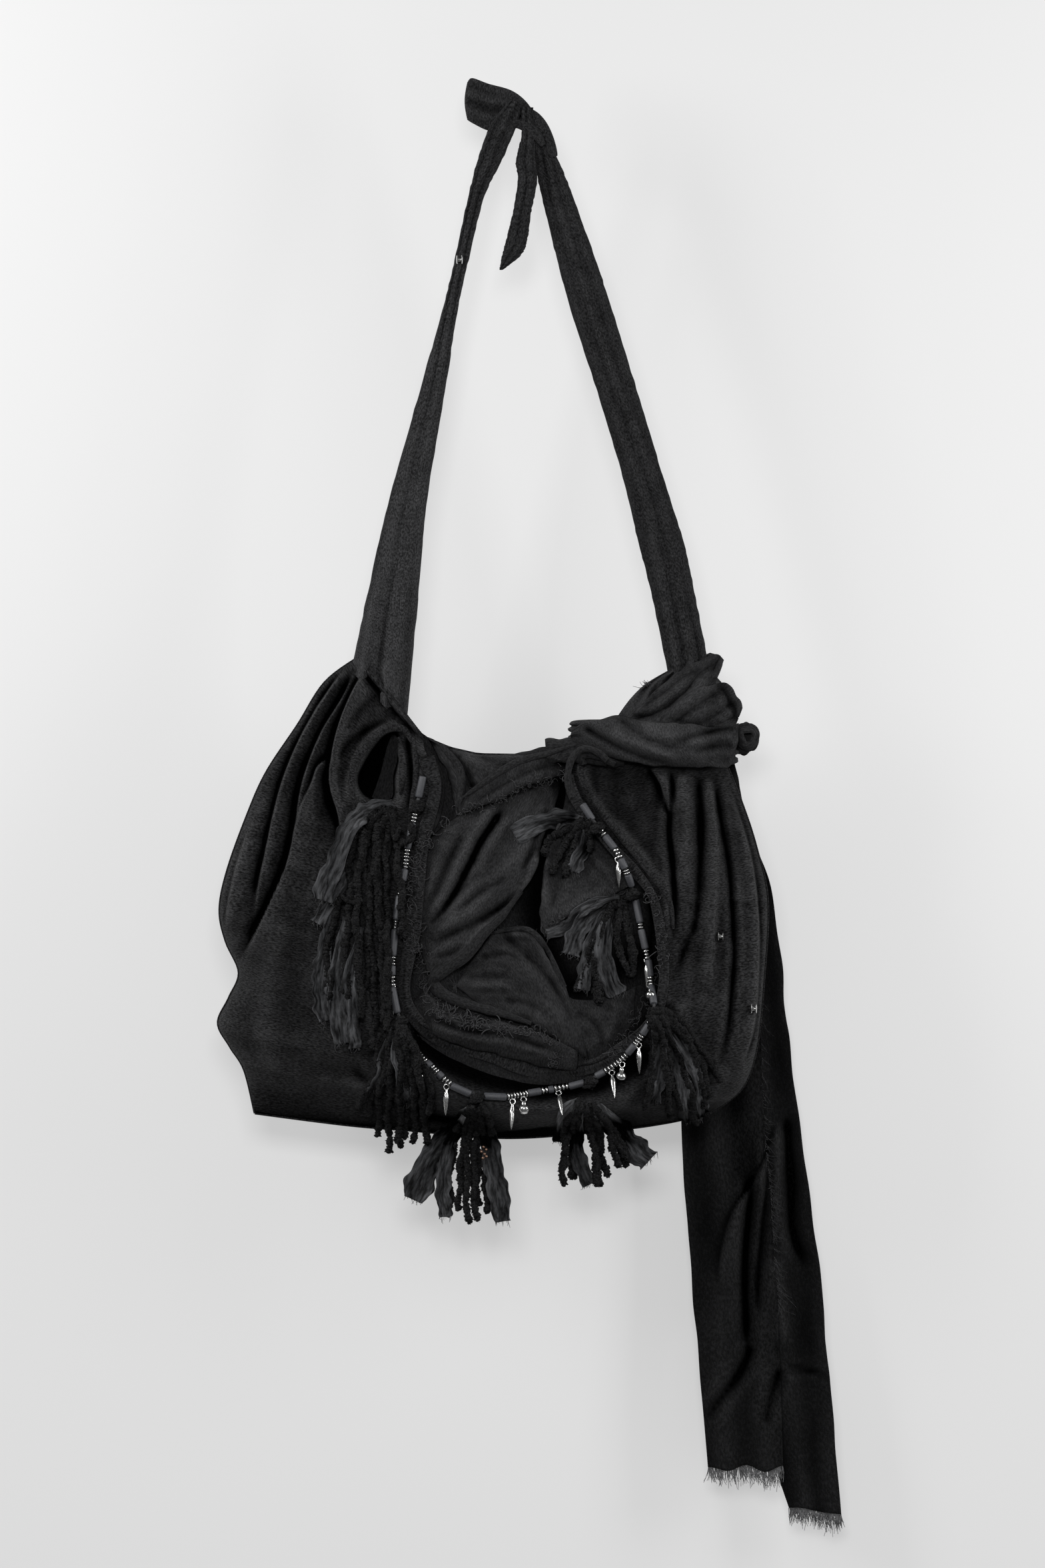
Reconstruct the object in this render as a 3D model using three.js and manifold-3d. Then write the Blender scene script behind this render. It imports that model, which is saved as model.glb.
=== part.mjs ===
// A slouchy shoulder bag tied from black scarf cloth: a hollow pouch with a U-shaped neckline in its
// front, an inner scarf behind the neckline, a long two-part strap knotted at its top, a scarf tied
// round the right shoulder with two long tails, and a string of tube beads, rings, spikes and bells
// with seven tassels round the neckline.
//
// Millimetres. +Z is up, the front looks along -Y, and +X is to the right of the front.
// The origin is the inner top of the strap loop, where a hook or a shoulder carries the bag.

import * as THREE from "three";
import { mergeVertices } from "three/addons/utils/BufferGeometryUtils.js";
import Module from "manifold-3d";

const wasm = await Module();
wasm.setup();

// The pouch.
const bagWidth = 495; // from the left bulge to the right side
const bagHeight = 435; // from the left shoulder down to the bottom
const bagDepth = 108; // front to back at the belly
const bagReach = 273; // from the hang point across to the left bulge
const strapDrop = 466; // from the hang point down to the left shoulder
const clothWall = 2.4; // the doubled cloth of the pouch
const gatherDepth = 16; // half the depth of the cloth where it is gathered at a shoulder
const pleatDepth = 7; // how far a pleat stands out of its valleys, each way

// The cloth in and round the neckline.
const scarfWall = 1.6; // the thin gauze of the inner scarf and the tails
const scarfFold = 9; // how far a fold of the inner scarf stands out
const hemWidth = 9; // the rolled hem round the neckline
const hemThick = 5;

// The strap and its knot.
const strapReachLeft = 124.5; // from the hang point across to the left shoulder
const strapReachRight = 150.5; // the same on the right
const strapWidth = 44; // at the shoulders
const strapThick = 6; // the folded band of several layers
const strapLoopLong = 66; // the flat loop of the knot, from its fold to the right strap
const strapLoopTall = 46;
const strapLoopThick = 12;
const strapEndLong = 146; // the loose end that hangs from the knot
const strapEndWide = 19;

// The scarf tied round the right shoulder.
const knotWide = 152; // the wrapped band, across the front
const knotDeep = 58; // the wrapped band, front to back
const knotTall = 34; // the height of the wrapped band
const knotThick = 11;
const knotRight = 468; // from the left bulge to the knot's right end
const knotDown = 545; // from the hang point down to the middle of the wrapped band
const fanTall = 74; // the fanned cloth above the wrapped band
const fanDeep = 40;
const budWide = 27; // the twisted end that stands out to the right
const tailLong = 1242; // from the hang point down to the end of the longer tail
const tailShort = 1203; // the same for the shorter tail
const tailRight = 291; // from the hang point across to the longer tail's outer corner

// The bead string and its tassels.
const threadWide = 2.2;
const tubeWide = 7.4;
const ringWide = 6.8;
const grooveWide = 4.6;
const spikeLong = 24;
const spikeWide = 5.2;
const bellWide = 9.5;
const jumpRing = 6; // the outer width of a charm's ring
const jumpWire = 1.2;
const tasselCord = 7; // a thick chenille cord of a tassel
const ribbonWide = 15;
const ribbonThick = 1.8;
const tasselHead = 11;
const knotLong = 11; // the bare thread that a tassel's head takes up
const clampWide = 9; // the small silver clamps on the cloth
const clampLong = 6;

const seatGap = 0.3; // left between pieces that rest on each other
const cutFineness = 0.12; // facets smaller than this are merged after a cut
const beadSides = 8;
const bagTop = -strapDrop;
const bagLeft = -bagReach;

// Solids

const vec = (x, y, z) => new THREE.Vector3(x, y, z);
const mix = (a, b, share) => a + (b - a) * share;
const ease = (share) => {
  const s = Math.min(Math.max(share, 0), 1);
  return s * s * (3 - 2 * s);
};
const hump = (offset, width) => Math.exp(-((offset / width) ** 2));

function geometryOf(points, triangles) {
  const geometry = new THREE.BufferGeometry();
  geometry.setAttribute("position", new THREE.Float32BufferAttribute(points.flatMap((p) => [p.x, p.y, p.z]), 3));
  geometry.setIndex(triangles);
  return geometry;
}

function solidOf(geometry) {
  const bare = geometry.index ? geometry.toNonIndexed() : geometry.clone();
  bare.deleteAttribute("normal");
  bare.deleteAttribute("uv");
  const merged = mergeVertices(bare, 1e-3);
  const index = merged.index.array;
  const triVerts = [];
  for (let i = 0; i < index.length; i += 3) {
    const [a, b, c] = [index[i], index[i + 1], index[i + 2]];
    if (a !== b && b !== c && a !== c) triVerts.push(a, b, c);
  }
  const mesh = { numProp: 3, vertProperties: merged.attributes.position.array, triVerts: new Uint32Array(triVerts) };
  return new wasm.Manifold(new wasm.Mesh(mesh));
}

function geometryFrom(solid) {
  const mesh = solid.getMesh();
  const count = mesh.vertProperties.length / mesh.numProp;
  const points = [];
  for (let i = 0; i < count; i++) points.push(vec(...mesh.vertProperties.slice(i * mesh.numProp, i * mesh.numProp + 3)));
  return geometryOf(points, [...mesh.triVerts]);
}

// The same solid with every face moved out, so that what is cut by it keeps a gap.
function grown(solid, by = seatGap * 1.6) {
  const smooth = mergeVertices(geometryFrom(solid), 1e-3);
  smooth.computeVertexNormals();
  const place = smooth.attributes.position;
  const normal = smooth.attributes.normal;
  for (let i = 0; i < place.count; i++) {
    place.setXYZ(
      i,
      place.getX(i) + normal.getX(i) * by,
      place.getY(i) + normal.getY(i) * by,
      place.getZ(i) + normal.getZ(i) * by,
    );
  }
  return solidOf(smooth);
}

// A piece cut clear of the neighbours that it lies on, without the crumbs that the cut may leave.
function clearOf(piece, ...neighbours) {
  const cut = neighbours.reduce((left, other) => left.subtract(grown(other)), piece);
  return cut
    .decompose()
    .reduce((best, part) => (part.volume() > best.volume() ? part : best))
    .simplify(cutFineness);
}

// Two triangles for each cell of a grid of point numbers; outward when rows go down and columns go right.
function facesOfGrid(numbers, triangles, turned = false) {
  for (let r = 0; r + 1 < numbers.length; r++) {
    for (let c = 0; c + 1 < numbers[r].length; c++) {
      const [a, b] = [numbers[r][c], numbers[r][c + 1]];
      const [d, e] = [numbers[r + 1][c], numbers[r + 1][c + 1]];
      if (turned) triangles.push(a, b, d, b, e, d);
      else triangles.push(a, d, b, b, d, e);
    }
  }
}

// A closed solid between a front and a back face that are grids of the same size, joined round the edge.
function slab(front, back) {
  const points = [...front.flat(), ...back.flat()];
  const columns = front[0].length;
  const rows = front.length;
  const at = (side, r, c) => side * rows * columns + r * columns + c;
  const numbers = (side) => front.map((row, r) => row.map((_, c) => at(side, r, c)));
  const triangles = [];
  facesOfGrid(numbers(0), triangles);
  facesOfGrid(numbers(1), triangles, true);
  const edge = [];
  for (let c = 0; c < columns; c++) edge.push([0, c]);
  for (let r = 1; r < rows; r++) edge.push([r, columns - 1]);
  for (let c = columns - 2; c >= 0; c--) edge.push([rows - 1, c]);
  for (let r = rows - 2; r > 0; r--) edge.push([r, 0]);
  edge.forEach(([r, c], i) => {
    const [r2, c2] = edge[(i + 1) % edge.length];
    const [a, b, d, e] = [at(0, r, c), at(0, r2, c2), at(1, r, c), at(1, r2, c2)];
    triangles.push(a, b, d, b, e, d);
  });
  return solidOf(geometryOf(points, triangles));
}

const grid = (rows, columns, place) =>
  Array.from({ length: rows + 1 }, (_, r) =>
    Array.from({ length: columns + 1 }, (_, c) => place(c / columns, r / rows)),
  );

// A sheet of cloth: place gives its middle, and the wall stands half to each side of it.
// The wall is a thickness, or gives one for each place.
function sheet(place, rows, columns, wall) {
  const step = 0.01;
  const off = (u, v, side) => {
    const across = place(Math.min(u + step, 1), v).sub(place(Math.max(u - step, 0), v));
    const down = place(u, Math.min(v + step, 1)).sub(place(u, Math.max(v - step, 0)));
    const normal = down.cross(across).normalize();
    const thick = typeof wall === "function" ? wall(u, v) : wall;
    return place(u, v).addScaledVector(normal, (side * thick) / 2);
  };
  const front = grid(rows, columns, (u, v) => off(u, v, 1));
  const back = grid(rows, columns, (u, v) => off(u, v, -1));
  return slab(front, back);
}

// A padded or gathered piece: a front and a back that meet all round.
const pad = (front, back, rows, columns) => slab(grid(rows, columns, front), grid(rows, columns, back));

// A closed tube through rings of points.
function tubeThrough(rings) {
  const sides = rings[0].length;
  const points = rings.flat();
  const triangles = [];
  for (let r = 0; r + 1 < rings.length; r++) {
    for (let s = 0; s < sides; s++) {
      const [a, b] = [r * sides + s, r * sides + ((s + 1) % sides)];
      triangles.push(a, b, a + sides, b, b + sides, a + sides);
    }
  }
  const end = (first, turned) => {
    const middle = points.length;
    points.push(
      points
        .slice(first, first + sides)
        .reduce((sum, p) => sum.add(p), vec(0, 0, 0))
        .divideScalar(sides),
    );
    for (let s = 0; s < sides; s++) {
      const [a, b] = [first + s, first + ((s + 1) % sides)];
      triangles.push(...(turned ? [a, b, middle] : [b, a, middle]));
    }
  };
  end(0, false);
  end((rings.length - 1) * sides, true);
  return solidOf(geometryOf(points, triangles));
}

// A ring of points round a place on a path, wide to the side and thick towards the front.
function ringAt(centre, along, wide, thick, sides, turn = 0) {
  const side = vec(0, 1, 0).cross(along).normalize();
  const back = along.clone().cross(side).normalize();
  return Array.from({ length: sides }, (_, s) => {
    const angle = (2 * Math.PI * (s + 0.5)) / sides + turn;
    return centre
      .clone()
      .addScaledVector(side, (Math.cos(angle) * wide) / 2)
      .addScaledVector(back, (Math.sin(angle) * thick) / 2);
  });
}

// Outlines

// A smooth line through rows that hold shares of a width and a height, from a left top corner.
const throughRows = (rows, left, top, wide, tall) =>
  new THREE.SplineCurve(rows.map((row) => new THREE.Vector2(left + row.across * wide, top - row.down * tall)));

// A four-sided area between a top, a bottom, a left and a right line. Each line takes a share and gives a point.
function areaBetween({ top, bottom, left, right }) {
  const corners = [top(0), top(1), bottom(0), bottom(1)];
  return (u, v) => {
    const one = (axis) =>
      mix(top(u)[axis], bottom(u)[axis], v) +
      mix(left(v)[axis], right(v)[axis], u) -
      mix(mix(corners[0][axis], corners[1][axis], u), mix(corners[2][axis], corners[3][axis], u), v);
    return { x: one("x"), z: one("y") };
  };
}

// The pouch

// Outlines of the pouch, as shares of its width from the left bulge and of its height from the shoulder.
const leftOutline = [
  { across: 0.262, down: 0 },
  { across: 0.195, down: 0.056 },
  { across: 0.145, down: 0.145 },
  { across: 0.088, down: 0.243 },
  { across: 0.053, down: 0.332 },
  { across: 0.017, down: 0.446 },
  { across: 0.003, down: 0.527 },
  { across: 0.014, down: 0.592 },
  { across: 0.038, down: 0.657 },
  { across: 0.0, down: 0.762 },
  { across: 0.048, down: 0.86 },
  { across: 0.067, down: 0.949 },
];
const rightOutline = [
  { across: 0.915, down: 0.2 },
  { across: 0.951, down: 0.3 },
  { across: 0.979, down: 0.397 },
  { across: 1.0, down: 0.511 },
  { across: 0.993, down: 0.673 },
  { across: 0.979, down: 0.819 },
  { across: 0.951, down: 0.9 },
  { across: 0.894, down: 0.949 },
];
const bottomOutline = [
  { across: 0.067, down: 0.949 },
  { across: 0.231, down: 0.973 },
  { across: 0.345, down: 0.984 },
  { across: 0.53, down: 1.0 },
  { across: 0.716, down: 0.984 },
  { across: 0.815, down: 0.969 },
  { across: 0.894, down: 0.949 },
];
// The rim, with the share of the way round the front where each point lies.
const rimRows = [
  { round: 0.0, across: 0.262, down: 0.0 },
  { round: 0.3, across: 0.338, down: 0.114 },
  { round: 0.36, across: 0.374, down: 0.167 },
  { round: 0.42, across: 0.423, down: 0.19 },
  { round: 0.5, across: 0.473, down: 0.203 },
  { round: 0.58, across: 0.58, down: 0.205 },
  { round: 0.66, across: 0.66, down: 0.226 },
  { round: 0.72, across: 0.72, down: 0.22 },
  { round: 0.78, across: 0.776, down: 0.198 },
  { round: 1.0, across: 0.915, down: 0.2 },
];
// How deep the pouch is below its rim, as a share of its full depth.
const bellyRows = [
  { down: 0.0, deep: 0.5 },
  { down: 0.2, deep: 0.66 },
  { down: 0.4, deep: 0.84 },
  { down: 0.6, deep: 1.0 },
  { down: 0.78, deep: 0.98 },
  { down: 0.9, deep: 0.74 },
  { down: 1.0, deep: 0.0 },
];

// The value of one column of a table at a place in another.
function lookUp(rows, key, at, column) {
  const next = rows.findIndex((row) => row[key] >= at);
  if (next <= 0) return rows[next < 0 ? rows.length - 1 : 0][column];
  const [a, b] = [rows[next - 1], rows[next]];
  return mix(a[column], b[column], (at - a[key]) / (b[key] - a[key]));
}

const leftLine = throughRows(leftOutline, bagLeft, bagTop, bagWidth, bagHeight);
const rightLine = throughRows(rightOutline, bagLeft, bagTop, bagWidth, bagHeight);
const bottomLine = throughRows(bottomOutline, bagLeft, bagTop, bagWidth, bagHeight);
const onPouch = areaBetween({
  top: (u) =>
    new THREE.Vector2(
      bagLeft + lookUp(rimRows, "round", u, "across") * bagWidth,
      bagTop - lookUp(rimRows, "round", u, "down") * bagHeight,
    ),
  bottom: (u) => bottomLine.getPoint(u),
  left: (v) => leftLine.getPoint(v),
  right: (v) => rightLine.getPoint(v),
});

// Half the depth of the pouch, without its pleats: full at the belly, thin at the shoulders.
function halfDepth(u, v) {
  const roundness = 2.6;
  const side = Math.max(1 - Math.abs(2 * u - 1) ** roundness, 0) ** (1 / roundness);
  const belly = lookUp(bellyRows, "down", v, "deep") * (bagDepth / 2);
  const mouth = Math.sin(Math.PI * Math.min(Math.max((u - 0.24) / 0.52, 0), 1)) ** 2;
  const atRim = mix(gatherDepth, belly, mouth);
  return side * mix(atRim, belly, ease(v / 0.42));
}

// The pleats fan out from both shoulders. They are full in the upper half and die out before the bottom.
const pleatGrowth = (v) => ease(v / 0.25) * (1 - 0.85 * ease((v - 0.5) / 0.45));
const pleatBundles = [
  { from: 0.0, to: 0.34, folds: 5 },
  { from: 0.68, to: 1.0, folds: 5 },
];
function pleat(u, v) {
  const bundle = pleatBundles.find((row) => u > row.from && u < row.to);
  if (!bundle) return 0;
  const along = ((u - bundle.from) / (bundle.to - bundle.from)) * bundle.folds;
  return -Math.cos(2 * Math.PI * along) * pleatDepth * pleatGrowth(v) * (1 - hump(u, 0.03)) * (1 - hump(1 - u, 0.03));
}

// Columns lie on each ridge and valley of the pleats, and wider apart between the two bundles.
function columnsFor(bundles, between) {
  const [first, second] = bundles;
  const run = (row) => Array.from({ length: 2 * row.folds }, (_, i) => mix(row.from, row.to, i / (2 * row.folds)));
  const gap = Array.from({ length: between }, (_, i) => mix(first.to, second.from, i / between));
  return [...run(first), ...gap, ...run(second), 1];
}
const frontColumns = columnsFor(pleatBundles, 7);
const backColumns = frontColumns.filter((_, i) => i % 2 === 0 || i === frontColumns.length - 1);
const pouchRows = [0, 0.08, 0.18, 0.3, 0.42, 0.55, 0.67, 0.78, 0.88, 0.955, 1];

// A point of the outer face, or inset by a wall for the inner face.
function pouchPoint(u, v, side, inset) {
  const place = onPouch(u, v);
  const middle = onPouch(0.5, 0.5);
  const closed = u === 0 || u === 1 || v === 1;
  const relief = side < 0 ? pleat(u, v) : 0.5 * pleat(u, v);
  const depth = Math.max(halfDepth(u, v) + relief - inset, 2);
  const narrower = 1 - (2 * inset) / bagWidth;
  const shallower = 1 - (1.6 * inset * v) / bagHeight;
  return vec(
    mix(middle.x, place.x, narrower),
    closed ? 0 : side * depth,
    v === 0 ? place.z : mix(bagTop, place.z, shallower),
  );
}

// The ring of columns round the pouch: along the front, then back along the rear.
const ringColumns = [
  ...frontColumns.map((u) => ({ u, side: -1 })),
  ...backColumns
    .slice(1, -1)
    .reverse()
    .map((u) => ({ u, side: 1 })),
];
const pouchRing = (v, inset) => ringColumns.map(({ u, side }) => pouchPoint(u, v, side, inset));

// The bottom seam closes the front against the rear: a rear point of the last row is the front point under it.
function seamed(rings) {
  const last = rings[rings.length - 1];
  const count = frontColumns.length;
  return [...rings.slice(0, -1), last.map((p, i) => (i < count ? p : last[frontColumns.indexOf(ringColumns[i].u)]))];
}

// Faces between rings, and over the bottom seam where front columns lie between rear ones.
function pouchFaces(rings, first, triangles, turned) {
  const sides = ringColumns.length;
  const add = (a, b, c) => triangles.push(...(turned ? [a, c, b] : [a, b, c]));
  for (let r = 0; r + 1 < rings.length; r++) {
    for (let s = 0; s < sides; s++) {
      const [a, b] = [first + r * sides + s, first + r * sides + ((s + 1) % sides)];
      add(a, a + sides, b);
      add(b, a + sides, b + sides);
    }
  }
  const lastRow = first + (rings.length - 1) * sides;
  for (let i = 0; i + 2 < frontColumns.length; i++) {
    const skipped = !backColumns.includes(frontColumns[i + 1]);
    if (skipped) add(lastRow + i, lastRow + i + 2, lastRow + i + 1);
  }
}

// The pouch filled in, for cutting its neighbours clear.
function filledPouch() {
  const rings = seamed(pouchRows.map((v) => pouchRing(v, 0)));
  const points = rings.flat();
  const triangles = [];
  pouchFaces(rings, 0, triangles, false);
  const middle = points.length;
  points.push(vec(onPouch(0.5, 0).x, 0, onPouch(0.5, 0).z));
  ringColumns.forEach((_, s) => triangles.push(s, (s + 1) % ringColumns.length, middle));
  return solidOf(geometryOf(points, triangles));
}

function hollowPouch() {
  const outer = seamed(pouchRows.map((v) => pouchRing(v, 0)));
  const inner = seamed(pouchRows.map((v) => pouchRing(v, clothWall)));
  const points = [...outer.flat(), ...inner.flat()];
  const triangles = [];
  pouchFaces(outer, 0, triangles, false);
  pouchFaces(inner, outer.flat().length, triangles, true);
  const sides = ringColumns.length;
  const toInner = outer.flat().length;
  for (let s = 0; s < sides; s++) {
    const t = (s + 1) % sides;
    triangles.push(s, t, toInner + s, t, toInner + t, toInner + s);
  }
  return solidOf(geometryOf(points, triangles));
}

// The neckline: the edge of the front panel, from its left top round the bottom to its right top.
const necklineRows = [
  { across: 0.372, down: 0.1 },
  { across: 0.376, down: 0.2 },
  { across: 0.392, down: 0.275 },
  { across: 0.368, down: 0.387 },
  { across: 0.359, down: 0.49 },
  { across: 0.35, down: 0.58 },
  { across: 0.337, down: 0.695 },
  { across: 0.362, down: 0.76 },
  { across: 0.415, down: 0.805 },
  { across: 0.496, down: 0.833 },
  { across: 0.578, down: 0.862 },
  { across: 0.64, down: 0.864 },
  { across: 0.7, down: 0.845 },
  { across: 0.747, down: 0.806 },
  { across: 0.79, down: 0.75 },
  { across: 0.806, down: 0.69 },
  { across: 0.808, down: 0.63 },
  { across: 0.801, down: 0.565 },
  { across: 0.788, down: 0.5 },
  { across: 0.758, down: 0.45 },
  { across: 0.7, down: 0.38 },
  { across: 0.65, down: 0.3 },
  { across: 0.637, down: 0.24 },
  { across: 0.652, down: 0.2 },
  { across: 0.652, down: 0.1 },
];
const neckline = throughRows(necklineRows, bagLeft, bagTop, bagWidth, bagHeight);

function necklineCut() {
  const outline = new THREE.Shape(neckline.getPoints(48));
  const cut = new THREE.ExtrudeGeometry(outline, { depth: bagDepth, bevelEnabled: false });
  cut.rotateX(Math.PI / 2);
  return solidOf(cut);
}

const pouchFilled = filledPouch();
const pouch = hollowPouch().subtract(necklineCut());

// The front and the rear panel meet at the side seams and along the bottom.
const largestOf = (solid) => solid.decompose().reduce((best, part) => (part.volume() > best.volume() ? part : best));
const panel = (towards) => largestOf(pouch.trimByPlane([0, towards, 0], seatGap / 2)).simplify(cutFineness);
const [frontPanel, rearPanel] = [panel(-1), panel(1)];

// Where the front of a solid lies behind a point of the front view, or Infinity beside it.
function frontFinder(solid) {
  const { vertProperties: at, triVerts, numProp } = solid.getMesh();
  const cell = 12;
  const cells = new Map();
  const cellsFrom = (values) => [Math.min(...values), Math.max(...values)].map((value) => Math.floor(value / cell));
  for (let t = 0; t < triVerts.length; t += 3) {
    const corners = [0, 1, 2].map((n) => {
      const i = triVerts[t + n] * numProp;
      return { x: at[i], y: at[i + 1], z: at[i + 2] };
    });
    const [fromX, toX] = cellsFrom(corners.map((p) => p.x));
    const [fromZ, toZ] = cellsFrom(corners.map((p) => p.z));
    for (let i = fromX; i <= toX; i++) {
      for (let k = fromZ; k <= toZ; k++) {
        const key = `${i},${k}`;
        if (!cells.has(key)) cells.set(key, []);
        cells.get(key).push(corners);
      }
    }
  }
  return (x, z) => {
    let front = Infinity;
    for (const [a, b, c] of cells.get(`${Math.floor(x / cell)},${Math.floor(z / cell)}`) ?? []) {
      const area = (b.x - a.x) * (c.z - a.z) - (c.x - a.x) * (b.z - a.z);
      const s = ((x - a.x) * (c.z - a.z) - (c.x - a.x) * (z - a.z)) / area;
      const t = ((b.x - a.x) * (z - a.z) - (x - a.x) * (b.z - a.z)) / area;
      if (s >= 0 && t >= 0 && s + t <= 1) front = Math.min(front, a.y + s * (b.y - a.y) + t * (c.y - a.y));
    }
    return front;
  };
}
const frontOfPouch = frontFinder(pouchFilled);

// The foremost of several surfaces in a small square of the front view, so that a piece can lie clear of them.
function foremost(finders, x, z, reach) {
  let front = Infinity;
  for (const dx of [-reach, 0, reach])
    for (const dz of [-reach, 0, reach]) for (const find of finders) front = Math.min(front, find(x + dx, z + dz));
  return front;
}

// The inner scarf

// It follows the inside of the pouch behind the neckline, and its folds stand forward in the opening.
const scarfReach = { left: 0.31, right: 0.75, top: 0.012, bottom: 0.93 };
const scarfFolds = [
  { fromAcross: 0.1, fromDown: 0.42, toAcross: 0.95, toDown: 0.02, wide: 0.07, out: 1.0 },
  { fromAcross: 0.05, fromDown: 0.72, toAcross: 0.72, toDown: 0.3, wide: 0.08, out: 0.5 },
  { fromAcross: 0.1, fromDown: 0.8, toAcross: 0.42, toDown: 0.52, wide: 0.05, out: 0.8 },
  { fromAcross: 0.42, fromDown: 0.52, toAcross: 0.78, toDown: 0.86, wide: 0.06, out: 0.9 },
  { fromAcross: 0.06, fromDown: 0.84, toAcross: 0.6, toDown: 0.96, wide: 0.05, out: 0.7 },
  { fromAcross: 0.62, fromDown: 0.2, toAcross: 0.55, toDown: 0.6, wide: 0.06, out: -0.6 },
];

// How far a point lies from a straight fold, both in shares of the scarf.
function awayFrom(fold, u, v) {
  const [dx, dy] = [fold.toAcross - fold.fromAcross, fold.toDown - fold.fromDown];
  const along = ((u - fold.fromAcross) * dx + (v - fold.fromDown) * dy) / (dx * dx + dy * dy);
  const near = Math.min(Math.max(along, 0), 1);
  return Math.hypot(u - fold.fromAcross - near * dx, v - fold.fromDown - near * dy);
}

// How far a point of the front view lies inside the neckline.
const necklinePoints = neckline.getPoints(72);
function insideNeckline(x, z) {
  let inside = false;
  let nearest = Infinity;
  necklinePoints.forEach((a, i) => {
    const b = necklinePoints[(i + 1) % necklinePoints.length];
    if (a.y > z !== b.y > z && x < a.x + ((z - a.y) / (b.y - a.y)) * (b.x - a.x)) inside = !inside;
    nearest = Math.min(nearest, Math.hypot(a.x - x, a.y - z));
  });
  return inside ? nearest : 0;
}

function scarfPoint(u, v) {
  const [onU, onV] = [mix(scarfReach.left, scarfReach.right, u), mix(scarfReach.top, scarfReach.bottom, v)];
  const place = onPouch(onU, onV);
  const inOpening = ease(insideNeckline(place.x, place.z) / 26);
  const fold = scarfFolds.reduce((sum, row) => sum + row.out * hump(awayFrom(row, u, v), row.wide), 0);
  const behindWall = clothWall + scarfWall + pleatDepth * 1.25;
  const depth = halfDepth(onU, onV) - behindWall + (0.6 * behindWall + scarfFold * fold) * inOpening;
  return vec(place.x, -depth, place.z);
}

const innerScarf = sheet(scarfPoint, 11, 10, scarfWall);

// The rolled hem round the neckline

function hemSolid() {
  const [start, end, steps] = [0.045, 0.91, 34];
  const rings = [];
  for (let i = 0; i <= steps; i++) {
    const at = mix(start, end, i / steps);
    const [here, next, last] = [neckline.getPoint(at), neckline.getPoint(at + 0.002), neckline.getPoint(at - 0.002)];
    const along = vec(next.x - last.x, 0, next.y - last.y).normalize();
    const lies = foremost([frontOfPouch], here.x, here.y, hemWidth / 2);
    rings.push(ringAt(vec(here.x, lies - hemThick / 2 - 4 * seatGap, here.y), along, hemWidth, hemThick, 6));
  }
  return tubeThrough(rings);
}
const necklineHem = clearOf(hemSolid(), pouch);

// The strap

// Middle and width of each strap down from the knot: shares of the drop, of the shoulder's reach, of the width.
const leftStrapRows = [
  { down: -0.068, reach: 0.035, wide: 0.3 },
  { down: -0.02, reach: 0.13, wide: 0.55 },
  { down: 0.045, reach: 0.228, wide: 0.5 },
  { down: 0.118, reach: 0.328, wide: 0.33 },
  { down: 0.234, reach: 0.428, wide: 0.29 },
  { down: 0.34, reach: 0.519, wide: 0.32 },
  { down: 0.494, reach: 0.645, wide: 0.53 },
  { down: 0.704, reach: 0.82, wide: 0.79 },
  { down: 0.87, reach: 0.925, wide: 0.93 },
  { down: 1.054, reach: 1.0, wide: 0.85 },
];
const rightStrapRows = [
  { down: -0.02, reach: 0.077, wide: 0.34 },
  { down: 0.045, reach: 0.15, wide: 0.51 },
  { down: 0.113, reach: 0.215, wide: 0.64 },
  { down: 0.22, reach: 0.315, wide: 0.77 },
  { down: 0.333, reach: 0.42, wide: 0.85 },
  { down: 0.507, reach: 0.59, wide: 0.82 },
  { down: 0.66, reach: 0.732, wide: 0.83 },
  { down: 0.78, reach: 0.835, wide: 0.93 },
  { down: 0.888, reach: 0.913, wide: 0.89 },
  { down: 1.011, reach: 1.0, wide: 0.77 },
];

// A strap as a creased band: its place in the front view follows the rows, it leans back towards the shoulder,
// slant is how far its lower left corner lies above the middle of its end, and bundle is how thick it is there.
function strapBand(rows, shoulder, forward, slant, bundle) {
  const edge = (side) =>
    new THREE.SplineCurve(
      rows.map((row) => {
        const x = row.reach * shoulder + (side * row.wide * strapWidth) / 2;
        const last = row === rows[rows.length - 1];
        return new THREE.Vector2(x, -row.down * strapDrop - (last ? side * slant : 0));
      }),
    );
  const [left, right] = [edge(-1), edge(1)];
  const crease = strapThick * 0.45;
  return sheet(
    (u, v) => {
      const [a, b] = [left.getPoint(v), right.getPoint(v)];
      const y = mix(-forward, 0, ease(v / 0.3)) + crease * Math.cos(2 * Math.PI * u) * Math.sin(Math.PI * Math.min(v * 2, 1) * 0.5);
      return vec(mix(a.x, b.x, u), y, mix(a.y, b.y, u));
    },
    14,
    4,
    (u, v) => mix(strapThick, bundle * Math.sqrt(Math.sin(Math.PI * mix(0.1, 0.9, u))), ease((v - 0.84) / 0.16)),
  );
}

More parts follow.
